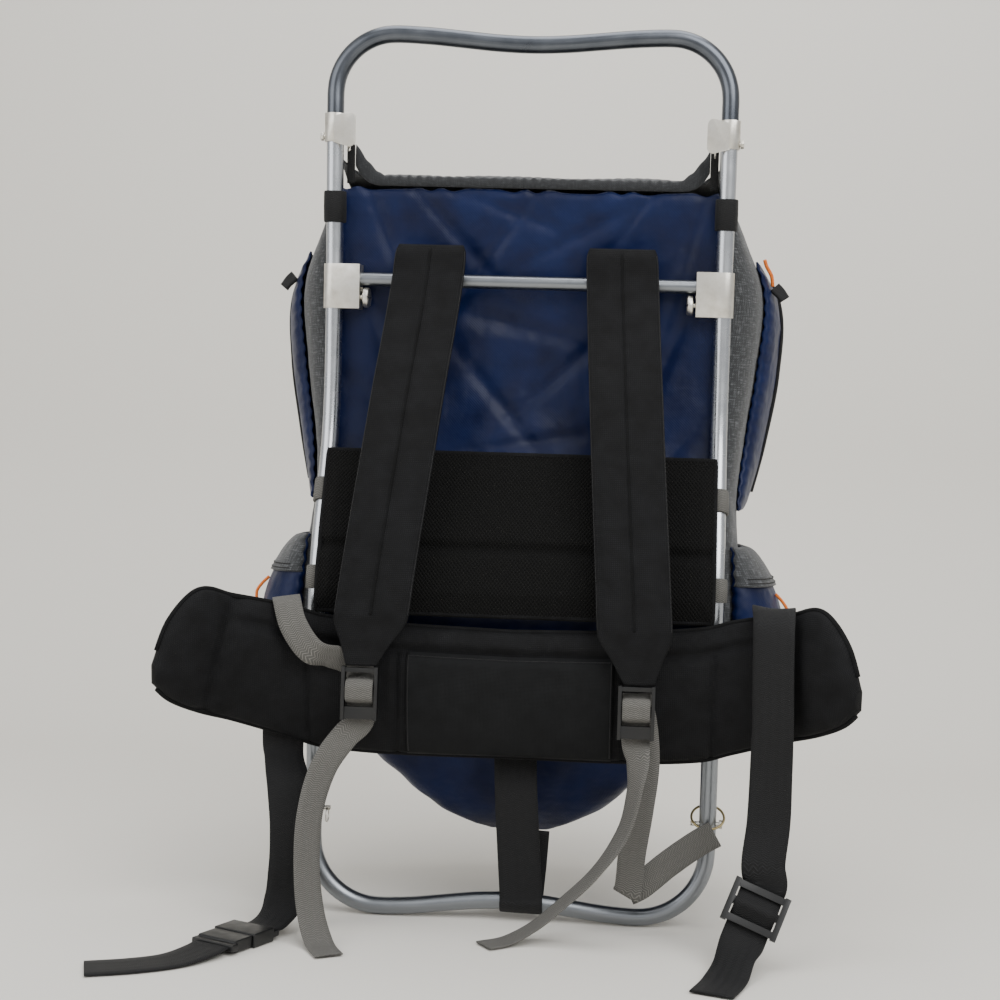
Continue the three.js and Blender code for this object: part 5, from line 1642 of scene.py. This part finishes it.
    def pad_ring(self, hanging: Hanging, down: float, count: int) -> Points:
        """Outline of a pad at a place down its length."""
        side, tail_end = hanging.side.value, hanging.lock_z + self.lock_height / 2 + SIZES.slack
        read = partial(read_named, self.pad, down)
        z = self.pad_top - (self.pad_top - tail_end) * down
        x = side * (hanging.top_x + (hanging.bottom_x - hanging.top_x) * read("drift"))
        y = self.pad_y - self.pad_reach * read("reach")
        slope = 0 if down > 0.85 else 0.18
        ring = []
        for turn in steps(count, 0, 2 * math.pi)[:-1]:
            c, s = math.cos(turn), math.sin(turn)
            across = self.pad_width / 2 * read("width") * math.copysign(abs(c) ** 0.6, c)
            pucker = 0.04 * math.sin(z * 0.55) * abs(c) ** 3 + 0.05 * grain(x + across, 3, z, 30)
            seam = 0.16 * bump(across, 3) if s < 0 and down < self.tail_from else 0
            edge = 0.12 * bump(abs(across) - self.pad_width * 0.42, 1.6)
            thick = self.pad_thickness / 2 * read("thick") * (1 - pucker - seam - edge)
            deep = thick * math.copysign(abs(s) ** 0.8, s)
            ring.append(Vector((x + across, y + deep, z + deep * slope)))
        return ring

    def build_pad(self, bench: Bench, hanging: Hanging) -> None:
        """Makes one shoulder pad with its loop, seam and ladder lock."""
        word, around = hanging.side.word, 64
        rows = [self.pad_ring(hanging, d, around) for d in steps(190)]
        self.padded(bench, f"pad_padded_{word}", rows, PAD, "black_cloth", f"shoulder_pad_{word}")
        for name, place, start, proud, radius, sides, finish in (
            ("pad_seam", 48, 0.01, 0.35, 1.1, 10, BINDING),
            ("pad_stitches_outer", 35, 0.015, 0.1, 0.45, 6, THREAD),
            ("pad_stitches_inner", 61, 0.015, 0.1, 0.45, 6, THREAD),
        ):
            downs = steps(150, start, self.tail_from)
            line = [self.pad_ring(hanging, down, around)[place] - Vector((0, proud, 0)) for down in downs]
            bench.rod(f"{name}_{word}", line, radius, sides, finish, "black_cloth")
        at = (hanging.side.value * hanging.top_x, SIZES.line(SIZES.crossbar_height), SIZES.crossbar_height)
        inner = SIZES.crossbar / 2 + 2 * SIZES.slack
        outer = inner + SIZES.webbing
        rows = []
        for radius, share in ((inner, -1), (outer, -0.98), (outer, 0.98), (inner, 1), (inner, -1)):
            ring = []
            for turn in steps(40, 0, 2 * math.pi)[:-1]:
                out = Vector((self.loop_half * share, radius * math.cos(turn), radius * math.sin(turn)))
                ring.append(Vector(at) + out)
            rows.append(ring)
        bench.hang(bench.grid(f"pad_loop_{word}", rows, closed=True), BLACK_STRAP, "black_webbing")
        piece = bench.fitting(f"ladder_lock_{word}", f"ladder_lock_moulded_{word}", 0.8)
        bench.hang(piece, PLASTIC, "black_plastic", [f"ladder_lock_{word}"])


# Straps


@dataclass(frozen=True)
class Straps:
    """The webbing of the harness, with its slider and its buckle."""

    bag: Bag
    harness: Harness
    narrow: float = 25
    wide: float = 38
    bottom: float = 40
    thin: float = 1.6
    # forward and up from a ladder lock's middle, down over its bars
    lock_way: tuple[tuple[float, float], ...] = (
        (10, 15),
        (4, 12.4),
        (-2.5, 11.4),
        (-5.8, 7),
        (-6, 1),
        (-5, -5),
        (0, -8.3),
        (4.5, -9.5),
        (6.8, -15),
        (7.5, -26),
    )
    # the same from the slider's middle, in the slider's own directions
    slider_way: tuple[tuple[float, float], ...] = (
        (1.6, 22),
        (3.2, 15),
        (0, 8),
        (-4.2, 0),
        (0, -8),
        (3.2, -15),
        (2, -23),
    )
    slider_at: tuple[float, float, float] = (224, -131, 50)
    slider_tilt: float = -20
    slider_lean: float = 22
    ring_height: float = 98
    ring_tip: float = 35
    ring_reach: float = 15.5
    ring_wire: float = 1.5
    ring_gap: float = 1.4
    turn_radius: float = 9.9
    buckle_end: tuple[Turn, ...] = (
        Turn((-239.5, -162.3, 6.2), (0.9, -0.44, 0)),
        Turn((-244.6, -172.8, 4.6), (0.9, -0.44, 0)),
        Turn((-262, -194, 1.8), (0.8, -0.6, 0)),
        Turn((-290, -212, 1.4), (0.6, -0.8, 0)),
        Turn((-326, -226, 1.4), (0.45, -0.9, 0)),
    )

    def through(self, hanging: Hanging, edge: float) -> list[Turn]:
        """Way of the grey webbing through a ladder lock."""
        x = hanging.side.value * hanging.lock_x
        return [
            Turn((x, self.harness.lock_y + y, hanging.lock_z + z), (edge, 0, 0))
            for y, z in self.lock_way
        ]

    def left(self) -> list[Turn]:
        """Way of the left lower strap, from behind the belt to its free end."""
        return [
            Turn((-211, -58, 245), (1, 0.4, 0)),
            Turn((-210, -61, 280), (1, 0.4, 0)),
            Turn((-208, -65, 297), (1, 0.3, 0.1)),
            Turn((-204, -80, 298), (1, 0.2, 0.2)),
            Turn((-194, -92, 275), (0.85, 0.1, 0.5)),
            Turn((-176, -92, 252), (0.8, 0, 0.6)),
            Turn((-159, -82, 247), (0.85, 0, 0.5)),
            Turn((-142, -74, 239), (0.97, 0, 0.2)),
            *self.through(self.harness.hangings[0], 1),
            Turn((-146, -82, 176), (0.95, 0, -0.2)),
            Turn((-162, -92, 150), (0.85, 0.4, -0.2)),
            Turn((-171, -104, 110), (0.8, 0.6, 0)),
            Turn((-170, -114, 62), (0.8, 0.6, 0)),
            Turn((-163, -124, 26), (0.85, 0.5, 0)),
            Turn((-152, -138, 5), (0.9, 0.35, 0)),
            Turn((-138, -162, 1.6), (0.9, 0.4, 0)),
        ]

    def right(self) -> list[Turn]:
        """Way of the right lower strap, from its ring to its free end."""
        reach = self.ring_reach * math.cos(math.radians(self.ring_tip))
        front = SIZES.line(self.ring_height) - reach - self.ring_wire - self.ring_gap
        return [
            Turn((192, front, 92), (-0.5, 0, 0.86)),
            Turn((178, front - 1, 84), (-0.5, 0, 0.86)),
            Turn((150, -50, 66), (-0.53, 0, 0.85)),
            Turn((126, -57, 47), (-0.53, 0, 0.85)),
            Turn((119, -57.8, 43), (-0.7, 0, 0.7)),
            Turn((112.6, -59.4, 40.5), (-0.88, 0, 0.47)),
            Turn((111.7, -60.2, 38.9), (-0.88, 0, 0.47)),
            Turn((111.4, -62, 38.2), (-0.88, 0, 0.47)),
            Turn((111.7, -63.8, 38.9), (-0.88, 0, 0.47)),
            Turn((112.6, -64.6, 40.5), (-0.88, 0, 0.47)),
            Turn((114.2, -66, 49), (-0.97, 0, 0.2)),
            Turn((116, -70, 75), (-1, 0, 0.1)),
            Turn((122, -78, 120), (-1, 0, 0.1)),
            Turn((126, -78, 160), (-1, 0, 0.05)),
            Turn((123, -75.5, 195), (-1, 0, 0)),
            *self.through(self.harness.hangings[1], -1),
            Turn((119, -88, 166), (-0.8, 0.6, 0)),
            Turn((117, -96, 140), (-0.5, 0.85, 0.1)),
            Turn((108, -98, 103), (-0.4, 0.9, 0.1)),
            Turn((84, -98, 66), (-0.3, 0.95, 0)),
            Turn((55, -94, 36), (-0.3, 0.95, 0)),
            Turn((30, -92, 14), (-0.3, 0.95, 0)),
            Turn((8, -98, 2.6), (-0.4, 0.9, 0)),
            Turn((-12, -112, 1.6), (-0.5, 0.85, 0)),
        ]

    def belt_right(self) -> list[Turn]:
        """Way of the right belt strap, over the belt and through the slider."""
        turns = [
            Turn((236, -72.5, 268), (1, -0.55, 0)),
            Turn((236, -75.5, 292), (1, -0.55, 0)),
            Turn((235, -82, 303), (1, -0.55, 0)),
            Turn((235, -94, 303), (1, -0.55, 0)),
            Turn((234, -108, 290), (1, -0.45, 0)),
            Turn((234, -114.6, 250), (1, -0.45, 0)),
            Turn((235, -114.6, 205), (1, -0.45, 0)),
            Turn((235, -112, 165), (1, -0.35, 0)),
            Turn((234, -114, 120), (1, -0.2, 0)),
            Turn((230, -122, 84), (1, -0.1, 0)),
        ]
        tilt = Matrix.Rotation(math.radians(self.slider_tilt), 4, "X")
        lean = Matrix.Rotation(math.radians(self.slider_lean), 4, "Y")
        frame = Matrix.Translation(self.slider_at) @ tilt @ lean
        edge = tuple(frame.to_3x3() @ Vector((1, 0, 0)))
        for y, z in self.slider_way:
            turns.append(Turn(tuple(frame @ Vector((0, y, z))), edge))
        turns += [Turn((205, -158, 12), (0.9, -0.3, 0.2)), Turn((197, -180, 3), (0.9, -0.35, 0))]
        return turns + [Turn((184, -215, 1.6), (0.9, -0.35, 0))]

    def belt_left(self) -> list[Turn]:
        """Way of the left belt strap, from behind the belt down to the buckle."""
        turns = []
        for up in (0.5, 0.3, 0.1, -0.15):
            edge = self.harness.belt_point(-0.6, up, False) - self.harness.belt_point(-0.68, up, False)
            at = self.harness.belt_point(-0.64, up, False) + Vector((0, 1.8, 0))
            turns.append(Turn(tuple(at), tuple(edge.normalized())))
        return turns + [
            Turn((-200, -68, 128), (1, 0.2, 0)),
            Turn((-194, -79, 92), (1, 0, 0)),
            Turn((-193, -83, 55), (1, 0, 0)),
            Turn((-197, -84, 26), (0.95, -0.2, 0)),
            Turn((-203, -90, 11), (0.9, -0.44, 0)),
            Turn((-207.5, -98, 6.8), (0.9, -0.44, 0)),
            Turn((-212, -107, 6.2), (0.9, -0.44, 0)),
        ]

    def bottom_way(self) -> list[Turn]:
        """Way of the bottom strap round the bottom bar."""
        share = 14 / (SIZES.tube_x - SIZES.bottom_corner)
        bar_z = SIZES.tube / 2 + SIZES.bottom_rise * math.cos(math.pi / 2 * share) ** 2
        bar_y = SIZES.line(bar_z)
        turns = [
            Turn((0, self.bag.front_y(205) - 3.2, 205), (1, 0, 0)),
            Turn((2, self.bag.front_y(170) - 6, 170), (1, 0, 0)),
            Turn((6, bar_y - 4, 120), (1, 0, 0.04)),
            Turn((11, bar_y - 8, 60), (1, 0, 0.04)),
        ]
        for degrees in range(-30, 211, 30):
            turn = math.radians(degrees)
            y, z = bar_y - self.turn_radius * math.cos(turn), bar_z - self.turn_radius * math.sin(turn)
            turns.append(Turn((14, y, z), (1, 0, -0.03)))
        return turns + [Turn((16, bar_y + 9, 50), (1, 0, 0)), Turn((18, bar_y + 6, 84), (1, 0, 0))]

    def build(self, bench: Bench) -> None:
        """Makes every strap, the slider and the buckle."""
        for name, turns, width, thickness, finish, slot in (
            ("lower_strap_left", self.left(), self.narrow, self.thin, GREY_STRAP, "grey_webbing"),
            ("lower_strap_right", self.right(), self.narrow, self.thin, GREY_STRAP, "grey_webbing"),
            ("belt_strap_right", self.belt_right(), self.wide, SIZES.webbing, BLACK_STRAP, "black_webbing"),
            ("belt_strap_left", self.belt_left(), self.wide, SIZES.webbing, BLACK_STRAP, "black_webbing"),
            ("belt_strap_end", self.buckle_end, self.wide, SIZES.webbing, BLACK_STRAP, "black_webbing"),
            ("bottom_strap", self.bottom_way(), self.bottom, SIZES.webbing, BLACK_STRAP, "black_webbing"),
        ):
            bench.hang(ribbon(bench, f"{name}_woven", turns, width, thickness), finish, slot, [name])
        for node in ("belt_slider_right", "buckle_socket", "buckle_plug"):
            bench.hang(bench.fitting(node, f"{node}_moulded", 1.1), PLASTIC, "black_plastic", [node])


# Studio


@dataclass(frozen=True)
class Light:
    """One soft area light."""

    name: str
    at: tuple[float, float, float]
    towards: tuple[float, float, float]
    size: float
    power: float


@dataclass(frozen=True)
class Room:
    """Floor, backdrop, lights and camera, in metres and degrees."""

    lens: float = 54.04
    sensor: float = 36
    camera_at: tuple[float, float, float] = (0.120, -1.356, 0.1813)
    yaw: float = 3.0
    roll: float = 1.845
    across: float = -0.0688
    floor_gap: float = 0.0006
    near: float = -3.0
    far: float = 0.9
    bend: float = 0.5
    height: float = 4.0
    half_width: float = 4
    room_light: float = 0.62
    lights: tuple[Light, ...] = (
        Light("key", (1.2, -1.8, 1.8), (0, 0, 0.2), 2.0, 62),
        Light("fill", (-1.7, -1.5, 1.0), (0, 0, 0.1), 2.0, 26),
        Light("top", (0, 0.1, 2.2), (0, 0.1, 0.2), 1.6, 30),
    )

    def build(self) -> None:
        """Makes the studio round the pack."""
        self.build_board()
        for light in self.lights:
            lamp = bpy.data.lights.new(light.name, "AREA")
            lamp.size = light.size
            lamp.energy = light.power
            body = bpy.data.objects.new(light.name, lamp)
            body.location = light.at
            aim = Vector(light.towards) - Vector(light.at)
            body.rotation_euler = aim.to_track_quat("-Z", "Y").to_euler()
            bpy.context.scene.collection.objects.link(body)
        world = bpy.data.worlds.new("pale_room")
        world.use_nodes = True
        background = world.node_tree.nodes["Background"]
        background.inputs["Color"].default_value = (1, 1, 1, 1)
        background.inputs["Strength"].default_value = self.room_light
        bpy.context.scene.world = world
        self.build_camera()

    def build_board(self) -> None:
        """Makes the floor, which bends up into the backdrop."""
        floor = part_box("lower_frame_tube")[0].z - self.floor_gap
        bend = [(math.sin(a), 1 - math.cos(a)) for a in steps(24, 0, math.pi / 2)]
        profile = [(self.near, 0.0)] + [(self.far + self.bend * y, self.bend * z) for y, z in bend]
        profile.append((self.far + self.bend, self.height))
        points = [Vector((x, y, floor + z)) for y, z in profile for x in (-self.half_width, self.half_width)]
        faces = [(2 * i, 2 * i + 1, 2 * i + 3, 2 * i + 2) for i in range(len(profile) - 1)]
        data = bpy.data.meshes.new("studio_sweep")
        data.from_pydata(points, [], faces)
        data.shade_smooth()
        data.materials.append(FLOOR.material())
        board = bpy.data.objects.new("studio_sweep", data)
        bpy.context.scene.collection.objects.link(board)

    def build_camera(self) -> None:
        """Puts the camera where the photograph's was."""
        camera = bpy.data.cameras.new("photo_camera")
        camera.lens = self.lens
        camera.sensor_width = self.sensor
        camera.shift_x = self.across
        body = bpy.data.objects.new("photo_camera", camera)
        turn = Matrix.Rotation(math.radians(self.yaw), 4, "Z") @ Matrix.Rotation(math.pi / 2, 4, "X")
        roll = Matrix.Rotation(math.radians(self.roll), 4, "Z")
        body.matrix_world = Matrix.Translation(self.camera_at) @ turn @ roll
        bpy.context.scene.collection.objects.link(body)
        bpy.context.scene.camera = body


def main() -> None:
    """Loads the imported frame, dresses it and sets the studio."""
    logging.basicConfig(level=logging.INFO, format="%(name)s: %(message)s")
    bench = Bench(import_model())
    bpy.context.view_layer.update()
    bag = Bag()
    harness = Harness()
    TubeFrame().build(bench)
    bag.build(bench)
    Lid(bag).build(bench)
    Pockets(bag).build(bench)
    harness.build(bench)
    Straps(bag, harness).build(bench)
    Room().build()
    LOG.info("%d pieces made", len(bench.pieces))


if __name__ == "__main__":
    main()
